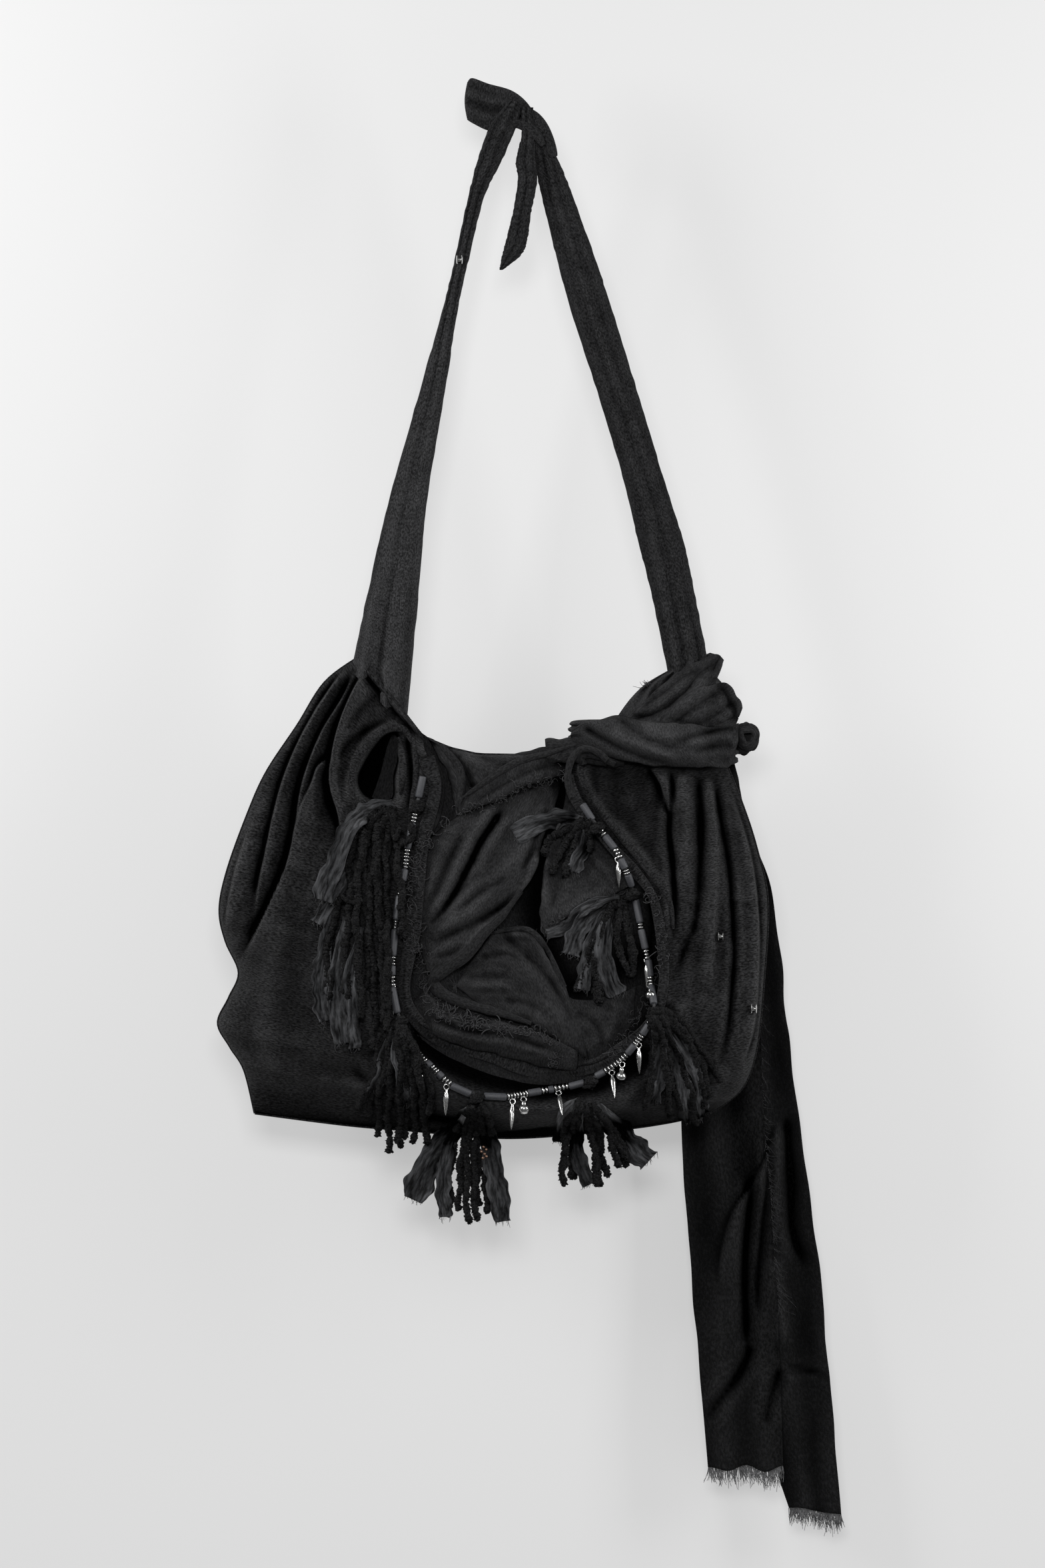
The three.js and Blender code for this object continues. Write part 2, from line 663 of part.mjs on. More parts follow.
// The flat loop of the knot: the right strap's end, folded over behind the left one.
const strapLoopOutline = {
  top: [
    { across: 0.03, down: 0.08 },
    { across: 0.1, down: 0.0 },
    { across: 0.32, down: 0.11 },
    { across: 0.63, down: 0.24 },
    { across: 0.84, down: 0.47 },
    { across: 1.0, down: 0.82 },
  ],
  bottom: [
    { across: 0.03, down: 0.82 },
    { across: 0.12, down: 0.9 },
    { across: 0.32, down: 1.03 },
    { across: 0.55, down: 1.03 },
    { across: 0.72, down: 0.98 },
    { across: 0.86, down: 0.98 },
  ],
};
function strapLoopSolid() {
  const left = -0.765 * strapLoopLong;
  const top = strapLoopTall + 7.7;
  const [above, below] = ["top", "bottom"].map((name) =>
    throughRows(strapLoopOutline[name], left, top, strapLoopLong, strapLoopTall),
  );
  const between = (from, to, bulge) => (v) => {
    const [a, b] = [above.getPoint(from), below.getPoint(to)];
    return new THREE.Vector2(mix(a.x, b.x, v) + bulge * Math.sin(Math.PI * v), mix(a.y, b.y, v));
  };
  const area = areaBetween({
    top: (u) => above.getPoint(u),
    bottom: (u) => below.getPoint(u),
    left: between(0, 0, -2.5),
    right: between(1, 1, 1),
  });
  const face = (side) => (u, v) => {
    const place = area(u, v);
    const closed = u === 0 || u === 1 || v === 0 || v === 1;
    const full = Math.sqrt(Math.sin(Math.PI * mix(0.1, 0.9, u)) * Math.sin(Math.PI * mix(0.08, 0.92, v)));
    const behind = strapLoopThick * 0.3;
    return vec(place.x, behind + (closed ? 0 : (side * full * strapLoopThick) / 2), place.z);
  };
  return pad(face(-1), face(1), 6, 8);
}
const strapLoop = strapLoopSolid();
const rightStrap = clearOf(strapBand(rightStrapRows, strapReachRight, 0, -7.4, fanDeep * 0.4), strapLoop);
const leftStrap = clearOf(
  strapBand(leftStrapRows, -strapReachLeft, strapLoopThick * 0.5, 26.5, 1.9 * gatherDepth),
  strapLoop,
  rightStrap,
  pouchFilled,
  pouch,
);

// The loose end: it comes over the loop and hangs in front of the right strap, with a soft twist.
const strapEndRows = [
  { down: 0.0, middle: 0.3, wide: 0.55 },
  { down: 0.17, middle: 0.32, wide: 0.62 },
  { down: 0.33, middle: 0.22, wide: 0.95 },
  { down: 0.45, middle: 0.3, wide: 0.93 },
  { down: 0.66, middle: 0.02, wide: 0.87 },
  { down: 0.82, middle: -0.22, wide: 1.0 },
  { down: 0.91, middle: -0.46, wide: 0.88 },
  { down: 1.0, middle: -0.95, wide: 0.16 },
];
function strapEndSolid() {
  const top = 26;
  const edge = (side) =>
    new THREE.SplineCurve(
      strapEndRows.map(
        (row) =>
          new THREE.Vector2((row.middle + (side * row.wide) / 2) * strapEndWide, top - row.down * strapEndLong),
      ),
    );
  const [left, right] = [edge(-1), edge(1)];
  const forward = strapLoopThick * 0.62;
  return sheet(
    (u, v) => {
      const [a, b] = [left.getPoint(v), right.getPoint(v)];
      const cup = 3 * Math.cos(2 * Math.PI * u) * Math.sin(Math.PI * v);
      return vec(mix(a.x, b.x, u), -forward + cup, mix(a.y, b.y, u));
    },
    11,
    3,
    strapThick * 0.5,
  );
}
const strapEnd = clearOf(strapEndSolid(), strapLoop, leftStrap, rightStrap);

// The scarf tied round the right shoulder

const knotMiddle = bagLeft + knotRight - knotWide / 2;

// The wrapped band is tallest in its middle and falls to the right. Across runs from -1 to 1.
const wrapMiddle = (across) => -knotDown - across * knotTall * 0.3;
const wrapTall = (across) => knotTall * (1 - 0.42 * across * across);

// The folded section of the wrapped band, out from its inner face in shares of its thickness.
const wrapSection = [
  { out: 0.0, up: 0.46 },
  { out: 0.9, up: 0.38 },
  { out: 0.7, up: 0.14 },
  { out: 1.1, up: -0.02 },
  { out: 0.8, up: -0.2 },
  { out: 1.05, up: -0.36 },
  { out: 0.3, up: -0.5 },
  { out: 0.0, up: -0.3 },
];

// The wrapped band: a folded cloth that runs once round the gathered shoulder.
function wrapSolid() {
  const around = 26;
  const points = [];
  for (let i = 0; i < around; i++) {
    const angle = (2 * Math.PI * i) / around;
    const [across, forward] = [Math.cos(angle), -Math.sin(angle)];
    for (const row of wrapSection) {
      const out = (row.out - 1) * knotThick;
      const [x, y] = [knotMiddle + across * (knotWide / 2 + out), forward * (knotDeep / 2 + out)];
      points.push(vec(x, y, wrapMiddle(across) + row.up * wrapTall(across)));
    }
  }
  const sides = wrapSection.length;
  const triangles = [];
  for (let i = 0; i < around; i++) {
    for (let s = 0; s < sides; s++) {
      const [a, b] = [i * sides + s, i * sides + ((s + 1) % sides)];
      const [d, e] = [((i + 1) % around) * sides + s, ((i + 1) % around) * sides + ((s + 1) % sides)];
      triangles.push(a, d, b, b, d, e);
    }
  }
  return solidOf(geometryOf(points, triangles));
}
const knotWrap = clearOf(wrapSolid(), pouchFilled);

// The fanned cloth between the wrapped band and the strap, with two leaf-like ends on its right.
const fanLeft = 82;
const fanWide = 116;
const fanOutline = {
  left: [
    { across: 0.453, down: 0.2 },
    { across: 0.272, down: 0.365 },
    { across: 0.155, down: 0.53 },
    { across: 0.058, down: 0.73 },
    { across: 0.02, down: 0.83 },
  ],
  right: [
    { across: 0.76, down: 0.0 },
    { across: 0.853, down: 0.07 },
    { across: 0.81, down: 0.26 },
    { across: 0.853, down: 0.35 },
    { across: 0.93, down: 0.486 },
    { across: 0.997, down: 0.62 },
    { across: 0.966, down: 0.78 },
    { across: 0.92, down: 1.0 },
  ],
};
function fanSolid() {
  const top = -strapDrop + 2;
  const [left, right] = ["left", "right"].map((name) => throughRows(fanOutline[name], fanLeft, top, fanWide, fanTall));
  const onWrap = (u) => {
    const x = mix(left.getPoint(1).x, right.getPoint(1).x, u);
    const across = (x - knotMiddle) / (knotWide / 2 - knotThick);
    return new THREE.Vector2(x, wrapMiddle(across) + wrapTall(across) * 0.5);
  };
  const area = areaBetween({
    top: (u) => left.getPoint(0).lerp(right.getPoint(0), u),
    bottom: onWrap,
    left: (v) => left.getPoint(v).lerp(new THREE.Vector2(onWrap(0).x, onWrap(0).y), v ** 4),
    right: (v) => right.getPoint(v).lerp(new THREE.Vector2(onWrap(1).x, onWrap(1).y), v ** 4),
  });
  const folds = 4;
  const face = (side) => (u, v) => {
    const place = area(u, v);
    const closed = u === 0 || u === 1;
    const full = Math.sqrt(Math.sin(Math.PI * mix(0.06, 0.94, u))) * mix(0.36, 1, ease(v * 1.2));
    const ridges = 1 + 0.16 * Math.cos(2 * Math.PI * folds * u) * Math.sin(Math.PI * mix(0.1, 0.9, v));
    return vec(place.x, closed ? 0 : (side * full * ridges * fanDeep) / 2, place.z);
  };
  return pad(face(-1), face(1), 6, 12);
}
const knotFan = clearOf(fanSolid(), knotWrap, rightStrap);

// The twisted end of the tie, a small crumpled bud beside the knot.
function budSolid() {
  const ball = new THREE.SphereGeometry(budWide / 2, 10, 8);
  const place = ball.attributes.position;
  for (let i = 0; i < place.count; i++) {
    const [x, y, z] = [place.getX(i), place.getY(i), place.getZ(i)];
    const angle = Math.atan2(z, y);
    const crumple = 1 + 0.14 * Math.cos(3 * angle + x / 5);
    place.setXYZ(i, x * 0.95, y * crumple * 0.7, z * crumple * 1.02);
  }
  ball.translate(bagLeft + knotRight + budWide * 0.24, 0, -knotDown + knotTall * 0.1);
  return solidOf(ball);
}
const knotBud = clearOf(budSolid(), knotWrap, knotFan);

// The two tails behind the bag

// Left and right edges of the tails, as shares of their length and of the reach to their outer corner.
const shortTailRows = [
  { down: 0.453, left: 0.55, right: 0.63 },
  { down: 0.51, left: 0.51, right: 0.68 },
  { down: 0.6, left: 0.49, right: 0.73 },
  { down: 0.74, left: 0.5, right: 0.76 },
  { down: 0.81, left: 0.52, right: 0.77 },
  { down: 0.9, left: 0.545, right: 0.785 },
  { down: 1.0, left: 0.58, right: 0.785 },
];
const longTailRows = [
  { down: 0.445, left: 0.59, right: 0.65 },
  { down: 0.5, left: 0.6, right: 0.71 },
  { down: 0.54, left: 0.6, right: 0.775 },
  { down: 0.6, left: 0.62, right: 0.813 },
  { down: 0.66, left: 0.64, right: 0.838 },
  { down: 0.725, left: 0.66, right: 0.874 },
  { down: 0.83, left: 0.7, right: 0.934 },
  { down: 0.91, left: 0.75, right: 0.963 },
  { down: 1.0, left: 0.835, right: 1.0 },
];
function tailSolid(rows, long, behind, folds, foldDeep) {
  const edge = (name) => new THREE.SplineCurve(rows.map((row) => new THREE.Vector2(row[name] * tailRight, -row.down * long)));
  const [left, right] = [edge("left"), edge("right")];
  const overBelly = bagDepth / 2 + behind;
  return sheet(
    (u, v) => {
      const [a, b] = [left.getPoint(v), right.getPoint(v)];
      const across = Math.min(Math.abs((mix(a.x, b.x, u) - knotMiddle) / (knotWide / 2)), 1);
      const onKnot = (knotDeep / 2) * Math.sqrt(1 - across * across);
      const out = mix(onKnot, overBelly, ease(v / 0.3)) - 16 * ease((v - 0.6) / 0.4);
      const fold = foldDeep * Math.sin(2 * Math.PI * folds * u + 2 * v) * ease(v / 0.4);
      return vec(mix(a.x, b.x, u), out + fold, mix(a.y, b.y, u));
    },
    11,
    6,
    scarfWall,
  );
}
const shortTail = clearOf(tailSolid(shortTailRows, tailShort, 4, 1.5, 4), knotWrap, pouchFilled);
const longTail = clearOf(tailSolid(longTailRows, tailLong, 14, 1.5, 4), knotWrap, pouchFilled, shortTail);

// The bead string

// Its path round the neckline, as shares of the pouch, from the left top to the right top.
const stringRows = [
  { across: 0.374, down: 0.251 },
  { across: 0.359, down: 0.332 },
  { across: 0.348, down: 0.389 },
  { across: 0.341, down: 0.446 },
  { across: 0.328, down: 0.527 },
  { across: 0.321, down: 0.608 },
  { across: 0.319, down: 0.665 },
  { across: 0.326, down: 0.721 },
  { across: 0.341, down: 0.77 },
  { across: 0.366, down: 0.819 },
  { across: 0.395, down: 0.851 },
  { across: 0.423, down: 0.88 },
  { across: 0.459, down: 0.9 },
  { across: 0.516, down: 0.908 },
  { across: 0.573, down: 0.9 },
  { across: 0.652, down: 0.884 },
  { across: 0.687, down: 0.867 },
  { across: 0.73, down: 0.835 },
  { across: 0.761, down: 0.794 },
  { across: 0.784, down: 0.754 },
  { across: 0.791, down: 0.729 },
  { across: 0.787, down: 0.689 },
  { across: 0.781, down: 0.632 },
  { across: 0.77, down: 0.575 },
  { across: 0.759, down: 0.51 },
  { across: 0.744, down: 0.454 },
  { across: 0.723, down: 0.405 },
  { across: 0.701, down: 0.372 },
  { across: 0.68, down: 0.34 },
  { across: 0.662, down: 0.308 },
];

// What is threaded on it, in order: long is the length of the piece, hang is the charm on it. A knot is the place
// of a tassel, and its share of the string is fixed; the pieces between two knots share the length there.
const threaded = [
  { piece: "tube", long: 18 },
  { piece: "knot", tassel: "tassel_upper_left", at: 0.035 },
  { piece: "rings", long: 12, crests: 1 },
  { piece: "tube", long: 24 },
  { piece: "rings", long: 18, crests: 1 },
  { piece: "tube", long: 11 },
  { piece: "rings", long: 13, crests: 1 },
  { piece: "tube", long: 22 },
  { piece: "rings", long: 8, crests: 1 },
  { piece: "tube", long: 24 },
  { piece: "rings", long: 8, crests: 1 },
  { piece: "tube", long: 9 },
  { piece: "rings", long: 10, crests: 1, hang: "spike" },
  { piece: "tube", long: 24 },
  { piece: "knot", tassel: "tassel_lower_left", at: 0.307 },
  { piece: "tube", long: 9 },
  { piece: "rings", long: 4, crests: 1 },
  { piece: "tube", long: 8 },
  { piece: "rings", long: 10, crests: 1, hang: "spike" },
  { piece: "rings", long: 8, crests: 1, hang: "bell" },
  { piece: "tube", long: 6 },
  { piece: "rings", long: 8, crests: 1 },
  { piece: "tube", long: 6 },
  { piece: "rings", long: 9, crests: 1, hang: "spike" },
  { piece: "tube", long: 20 },
  { piece: "knot", tassel: "tassel_bottom_left", at: 0.447 },
  { piece: "tube", long: 20 },
  { piece: "rings", long: 11, crests: 1, hang: "spike" },
  { piece: "rings", long: 8, crests: 1, hang: "bell" },
  { piece: "tube", long: 12 },
  { piece: "rings", long: 6, crests: 1 },
  { piece: "tube", long: 5 },
  { piece: "rings", long: 7, crests: 1, hang: "spike" },
  { piece: "rings", long: 6, crests: 1 },
  { piece: "tube", long: 14 },
  { piece: "knot", tassel: "tassel_bottom_right", at: 0.59 },
  { piece: "tube", long: 7 },
  { piece: "rings", long: 10, crests: 1, hang: "spike" },
  { piece: "rings", long: 9, crests: 1, hang: "bell" },
  { piece: "tube", long: 8 },
  { piece: "rings", long: 8, crests: 1, hang: "spike" },
  { piece: "tube", long: 8 },
  { piece: "rings", long: 6, crests: 1 },
  { piece: "knot", tassel: "tassel_lower_right", at: 0.712 },
  { piece: "tube", long: 16 },
  { piece: "rings", long: 7, crests: 1, hang: "bell" },
  { piece: "tube", long: 12 },
  { piece: "rings", long: 7, crests: 1, hang: "spike" },
  { piece: "tube", long: 14 },
  { piece: "rings", long: 4, crests: 1 },
  { piece: "tube", long: 18 },
  { piece: "knot", tassel: "tassel_inner_right", at: 0.87 },
  { piece: "tube", long: 10 },
  { piece: "rings", long: 4, crests: 1 },
  { piece: "tube", long: 8 },
  { piece: "rings", long: 8, crests: 1, hang: "spike" },
  { piece: "tube", long: 12 },
  { piece: "rings", long: 5, crests: 1 },
  { piece: "knot", tassel: "tassel_inner_top", at: 0.968 },
  { piece: "tube", long: 8 },
];

const stringInFront = throughRows(stringRows, bagLeft, bagTop, bagWidth, bagHeight);
const clothFronts = [pouch, innerScarf, necklineHem, knotWrap].map(frontFinder);
const stringRest = tubeWide / 2 + 2 * seatGap;
const stringPath = new THREE.CatmullRomCurve3(
  Array.from({ length: 41 }, (_, i) => {
    const place = stringInFront.getPoint(i / 40);
    return vec(place.x, foremost(clothFronts, place.x, place.y, tubeWide / 2) - stringRest, place.y);
  }),
);
stringPath.arcLengthDivisions = 800;
const stringPlace = (share) => stringPath.getPointAt(Math.min(Math.max(share, 0), 1));
const stringDirection = (share) => stringPath.getTangentAt(Math.min(Math.max(share, 0), 1));

// Where each threaded piece starts and ends, as shares of the string.
const knotShare = knotLong / stringPath.getLength();
function placeThreaded() {
  const placed = [];
  let start = 0;
  let waiting = [];
  const fill = (end) => {
    const sum = waiting.reduce((total, row) => total + row.long, 0);
    for (const row of waiting) {
      const share = (row.long / sum) * (end - start);
      const from = placed.length ? placed[placed.length - 1].to : 0;
      placed.push({ ...row, from, to: from + share, middle: from + share / 2 });
    }
    waiting = [];
  };
  for (const row of threaded) {
    if (row.piece !== "knot") {
      waiting.push(row);
      continue;
    }
    fill(row.at - knotShare / 2);
    placed.push({ ...row, from: row.at - knotShare / 2, to: row.at + knotShare / 2, middle: row.at });
    start = row.at + knotShare / 2;
  }
  fill(1);
  return placed;
}
const threadedPlaces = placeThreaded();

function stringCore() {
  const rings = [];
  const ringOf = (share, wide) => rings.push(ringAt(stringPlace(share), stringDirection(share), wide, wide, beadSides));
  const step = 0.35 / stringPath.getLength();
  for (const row of threadedPlaces) {
    if (row.piece === "tube") {
      ringOf(row.from + step, tubeWide);
      ringOf(row.to - step, tubeWide);
    } else if (row.piece === "knot") {
      ringOf(row.from + step, threadWide);
      ringOf(row.to - step, threadWide);
    } else {
      const points = 2 * row.crests;
      for (let i = 0; i <= points; i++)
        ringOf(mix(row.from + step, row.to - step, i / points), i % 2 ? ringWide : grooveWide);
    }
  }
  return tubeThrough(rings);
}

// A charm hangs on a jump ring and leans forward over the cloth that bulges below it.
const spikeProfile = [
  [0, -spikeLong],
  [spikeWide * 0.5, -spikeLong * 0.5],
  [spikeWide * 0.4, -spikeLong * 0.16],
  [0, 0],
];
const bellProfile = [
  [0, -bellWide * 1.25],
  [bellWide * 0.42, -bellWide * 1.05],
  [bellWide * 0.5, -bellWide * 0.7],
  [bellWide * 0.2, -bellWide * 0.25],
  [0, 0],
];
function charmSolid(row) {
  const place = stringPlace(row.middle);
  const wire = new THREE.TorusGeometry((jumpRing - jumpWire) / 2, jumpWire / 2, 5, 7);
  wire.rotateX(Math.PI / 2);
  const ringDown = ringWide / 2 + jumpRing / 2 - jumpWire;
  wire.translate(0, 0, -ringDown);
  const profile = row.hang === "spike" ? spikeProfile : bellProfile;
  const charm = new THREE.LatheGeometry(
    profile.map(([radius, height]) => new THREE.Vector2(radius, height)),
    beadSides,
  );
  charm.rotateX(Math.PI / 2);
  charm.translate(0, 0, -ringDown - jumpRing / 2 + jumpWire * 0.8);
  const whole = solidOf(wire).add(solidOf(charm));
  const long = ringDown + jumpRing / 2 - profile[0][1];
  const half = bellWide / 2;
  const needed = [0.35, 0.6, 0.8, 1].map((share) => {
    const lies = foremost(clothFronts, place.x, place.z - share * long, half) - half - 2 * seatGap;
    return Math.max((place.y - lies) / (share * long), 0);
  });
  const lean = Math.min(Math.max(...needed), 1.2);
  return whole.warp((p) => {
    p[0] += place.x;
    p[1] += place.y + lean * p[2];
    p[2] += place.z;
  });
}
const beadString = clearOf(
  threadedPlaces.filter((row) => row.hang).reduce((string, row) => string.add(charmSolid(row)), stringCore()),
  pouch,
  innerScarf,
  necklineHem,
);

// The tassels

// Locks of each tassel: where each ends, as shares of the tassel's length to the right and down.
// bend moves its middle aside, and kind is a thick cord or a torn ribbon.
// The tassels are listed from the rearmost to the foremost.
const tassels = [
  {
    name: "tassel_bottom_left",
    long: 118,
    locks: [
      { kind: "ribbon", right: -0.47, down: 0.8, bend: -0.04 },
      { kind: "cord", right: -0.15, down: 0.96, bend: -0.04 },
      { kind: "cord", right: 0.05, down: 1.0, bend: 0.0 },
      { kind: "ribbon", right: 0.27, down: 0.98, bend: 0.05 },
    ],
  },
  {
    name: "tassel_bottom_right",
    long: 98,
    locks: [
      { kind: "cord", right: -0.22, down: 0.95, bend: -0.08 },
      { kind: "ribbon", right: -0.04, down: 0.97, bend: -0.03 },
      { kind: "cord", right: 0.18, down: 0.92, bend: 0.02 },
      { kind: "ribbon", right: 0.62, down: 0.75, bend: 0.02 },
    ],
  },
  {
    name: "tassel_lower_left",
    long: 125,
    locks: [
      { kind: "ribbon", right: -0.14, down: 0.86, bend: -0.06 },
      { kind: "cord", right: 0.02, down: 1.0, bend: -0.05 },
      { kind: "ribbon", right: 0.14, down: 0.95, bend: 0.0 },
    ],
  },
  {
    name: "tassel_lower_right",
    long: 112,
    locks: [
      { kind: "ribbon", right: 0.0, down: 0.74, bend: -0.05 },
      { kind: "cord", right: 0.16, down: 0.94, bend: 0.0 },
      { kind: "ribbon", right: 0.3, down: 1.0, bend: 0.05 },
      { kind: "cord", right: 0.42, down: 0.85, bend: 0.08 },
    ],
  },
  {
    name: "tassel_inner_right",
    long: 94,
    locks: [
      { kind: "ribbon", right: -0.5, down: 0.74, bend: -0.1 },
      { kind: "ribbon", right: -0.2, down: 0.98, bend: -0.06 },
      { kind: "cord", right: 0.02, down: 0.9, bend: -0.03 },
    ],
  },
  {
    name: "tassel_inner_top",
    long: 52,
    locks: [
      { kind: "ribbon", right: -1.25, down: 0.32, bend: 0.06 },
      { kind: "cord", right: -0.55, down: 0.7, bend: -0.2 },
      { kind: "ribbon", right: -0.18, down: 0.86, bend: 0.02 },
    ],
  },
  {
    name: "tassel_upper_left",
    long: 215,
    locks: [
      { kind: "ribbon", right: -0.39, down: 0.5, bend: -0.12 },
      { kind: "ribbon", right: -0.16, down: 0.98, bend: -0.1 },
      { kind: "cord", right: -0.08, down: 0.92, bend: -0.08 },
      { kind: "cord", right: -0.01, down: 1.0, bend: -0.06 },
      { kind: "cord", right: 0.07, down: 0.66, bend: -0.04 },
    ],
  },
];

// One lock hangs from the head in a soft bow, in front of everything that is behind it.
function lockSolid(head, lock, long, layer, behind) {
  const cord = lock.kind === "cord";
  const [wide, thick] = cord ? [tasselCord, tasselCord] : [ribbonWide, ribbonThick];
  const steps = long > 150 ? 5 : 4;
  const aside = (share) => head.x + long * (lock.right * share + lock.bend * Math.sin(Math.PI * share));
  const below = (share) => head.z - lock.down * long * share;
  const at = (share) => {
    if (share === 0) return head.clone();
    const nearby = [-0.12, -0.04, 0.04, 0.12].map((by) => Math.min(Math.max(share + by, 0.06), 1));
    const lies = Math.min(...nearby.map((near) => foremost(behind, aside(near), below(near), wide / 2)));
    const front = Math.min(Number.isFinite(lies) ? lies : head.y, head.y + thick / 2 + 1);
    return vec(aside(share), front - thick / 2 - 2 * seatGap - layer * Math.min(share * 4, 1), below(share));
  };
  const places = Array.from({ length: steps + 1 }, (_, i) => at(i / steps));
  const rings = places.map((place, i) => {
    const along = places[Math.min(i + 1, steps)].clone().sub(places[Math.max(i - 1, 0)]);
    const narrow = cord ? 1 : mix(0.4, 1, ease((i / steps) * 2.5));
    return ringAt(place, along.normalize(), wide * narrow, thick, cord ? 5 : 4);
  });
  return tubeThrough(rings);
}

function tasselSolid({ name, long, locks }, behind) {
  const row = threadedPlaces.find((placed) => placed.tassel === name);
  const knot = stringPlace(row.middle);
  const ball = new THREE.SphereGeometry(tasselHead / 2, 8, 5);
  ball.scale(0.82, 1.2, 1.4);
  ball.translate(knot.x, knot.y - tasselHead * 0.3, knot.z - tasselHead * 0.42);
  const hole = tubeThrough(
    [row.from - knotShare, row.from, row.middle, row.to, row.to + knotShare].map((share) =>
      ringAt(stringPlace(share), stringDirection(share), threadWide + 4 * seatGap, threadWide + 4 * seatGap, 8),
    ),
  );
  const from = vec(knot.x, knot.y - tasselHead * 0.66, knot.z - tasselHead * 0.5);
  const whole = locks.reduce((all, lock, i) => all.add(lockSolid(from, lock, long, 1.2 * i, behind)), solidOf(ball));
  return whole.subtract(hole).simplify(cutFineness);
}
const hungSoFar = [...clothFronts, frontFinder(grown(beadString, 2.5)), frontFinder(shortTail)];
const tasselSolids = [];
for (const tassel of tassels) {
  const others = tasselSolids.map((row) => row.solid);
  const solid = clearOf(tasselSolid(tassel, hungSoFar), beadString, pouch, necklineHem, innerScarf, ...others);
  tasselSolids.push({ name: tassel.name, solid });
  hungSoFar.push(frontFinder(grown(solid, 2.5)));
}

// The small silver clamps that are pinned through the cloth, two discs on one pin.
const clampRows = [
  { name: "clamp_side", across: 0.912, down: 0.581 },
  { name: "clamp_edge", across: 0.972, down: 0.73 },
];
function clampSolid(x, y, z) {
  const [disc, pin] = [clampWide / 2, clampWide * 0.22];
  const half = clampLong / 2;
  const shape = new THREE.LatheGeometry(
    [
      [0, -half],
      [disc * 0.7, -half],
      [disc, -half * 0.7],
      [pin, -half * 0.3],
      [pin, half * 0.3],
      [disc, half * 0.7],
      [disc * 0.7, half],
      [0, half],
    ].map(([radius, height]) => new THREE.Vector2(radius, height)),
    beadSides,
  );
  shape.rotateZ(Math.PI / 2);
  shape.translate(x, y, z);
  return solidOf(shape);
}
const clamps = clampRows.map((row) => {
  const [x, z] = [bagLeft + row.across * bagWidth, bagTop - row.down * bagHeight];
  return { name: row.name, solid: clearOf(clampSolid(x, frontOfPouch(x, z) - clampWide * 0.42, z), pouch) };
});
const strapClamp = { x: -0.445 * strapReachLeft, z: -0.238 * strapDrop };
const onStrap = frontFinder(leftStrap)(strapClamp.x, strapClamp.z);
clamps.push({
  name: "clamp_strap",
  solid: clearOf(clampSolid(strapClamp.x, onStrap - clampWide * 0.42, strapClamp.z), leftStrap),
});

// The finished bag

const cloth = new THREE.MeshStandardMaterial({ color: 0x151516, roughness: 0.95, metalness: 0 });
const gauze = new THREE.MeshStandardMaterial({ color: 0x1b1c1d, roughness: 0.92, metalness: 0 });
const silver = new THREE.MeshStandardMaterial({ color: 0xc9c9cb, roughness: 0.25, metalness: 1 });
const ribbon = new THREE.MeshStandardMaterial({ color: 0x2b2d30, roughness: 0.8, metalness: 0 });

const bag = new THREE.Group();
const add = (name, solid, material) => {
  const mesh = new THREE.Mesh(geometryFrom(solid), material);
  mesh.name = name;
  bag.add(mesh);
};
add("pouch_front", frontPanel, cloth);
add("pouch_rear", rearPanel, cloth);
add("neckline_hem", necklineHem, cloth);
add("inner_scarf", innerScarf, gauze);
add("strap_left", leftStrap, cloth);
add("strap_right", rightStrap, cloth);
add("strap_loop", strapLoop, cloth);
add("strap_end", strapEnd, cloth);
add("knot_wrap", knotWrap, gauze);
add("knot_fan", knotFan, gauze);
add("knot_bud", knotBud, gauze);
add("tail_short", shortTail, gauze);
add("tail_long", longTail, gauze);
add("bead_string", beadString, silver);
tasselSolids.forEach((row) => add(row.name, row.solid, ribbon));
clamps.forEach((row) => add(row.name, row.solid, silver));

export default bag;
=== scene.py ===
# %% [markdown]
# # A black scarf bag
# The real object is a soft shoulder bag tied from black crinkled scarf cloth. Almost all of it is
# cloth, so most pieces here are fine grids of points that follow the outline of the bag, with each fold
# drawn as a line on the front view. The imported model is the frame: every piece takes its place from it.

import math

import bpy
import numpy as np
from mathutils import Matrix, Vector
from mathutils.bvhtree import BVHTree


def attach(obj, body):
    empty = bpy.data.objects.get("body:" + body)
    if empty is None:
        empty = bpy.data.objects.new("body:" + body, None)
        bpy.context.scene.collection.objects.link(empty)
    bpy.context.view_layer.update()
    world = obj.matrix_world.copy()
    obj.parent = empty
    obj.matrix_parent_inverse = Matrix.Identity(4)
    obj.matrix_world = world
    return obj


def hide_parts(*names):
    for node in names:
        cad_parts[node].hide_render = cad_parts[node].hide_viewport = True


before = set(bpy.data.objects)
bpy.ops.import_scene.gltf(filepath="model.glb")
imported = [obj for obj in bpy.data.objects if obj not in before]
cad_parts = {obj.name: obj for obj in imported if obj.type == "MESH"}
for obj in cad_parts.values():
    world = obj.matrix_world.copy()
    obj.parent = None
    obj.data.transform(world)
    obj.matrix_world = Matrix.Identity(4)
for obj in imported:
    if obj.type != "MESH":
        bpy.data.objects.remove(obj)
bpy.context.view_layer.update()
bpy.ops.object.select_all(action="DESELECT")
MM = 0.001
chance = np.random.default_rng(11)

# %% [markdown]
# ## The camera
# The bag was photographed straight from the front, from far away, so its near and far parts have the
# same scale. A long lens six metres away gives that. The frame is 941 mm wide and 1412 mm high.

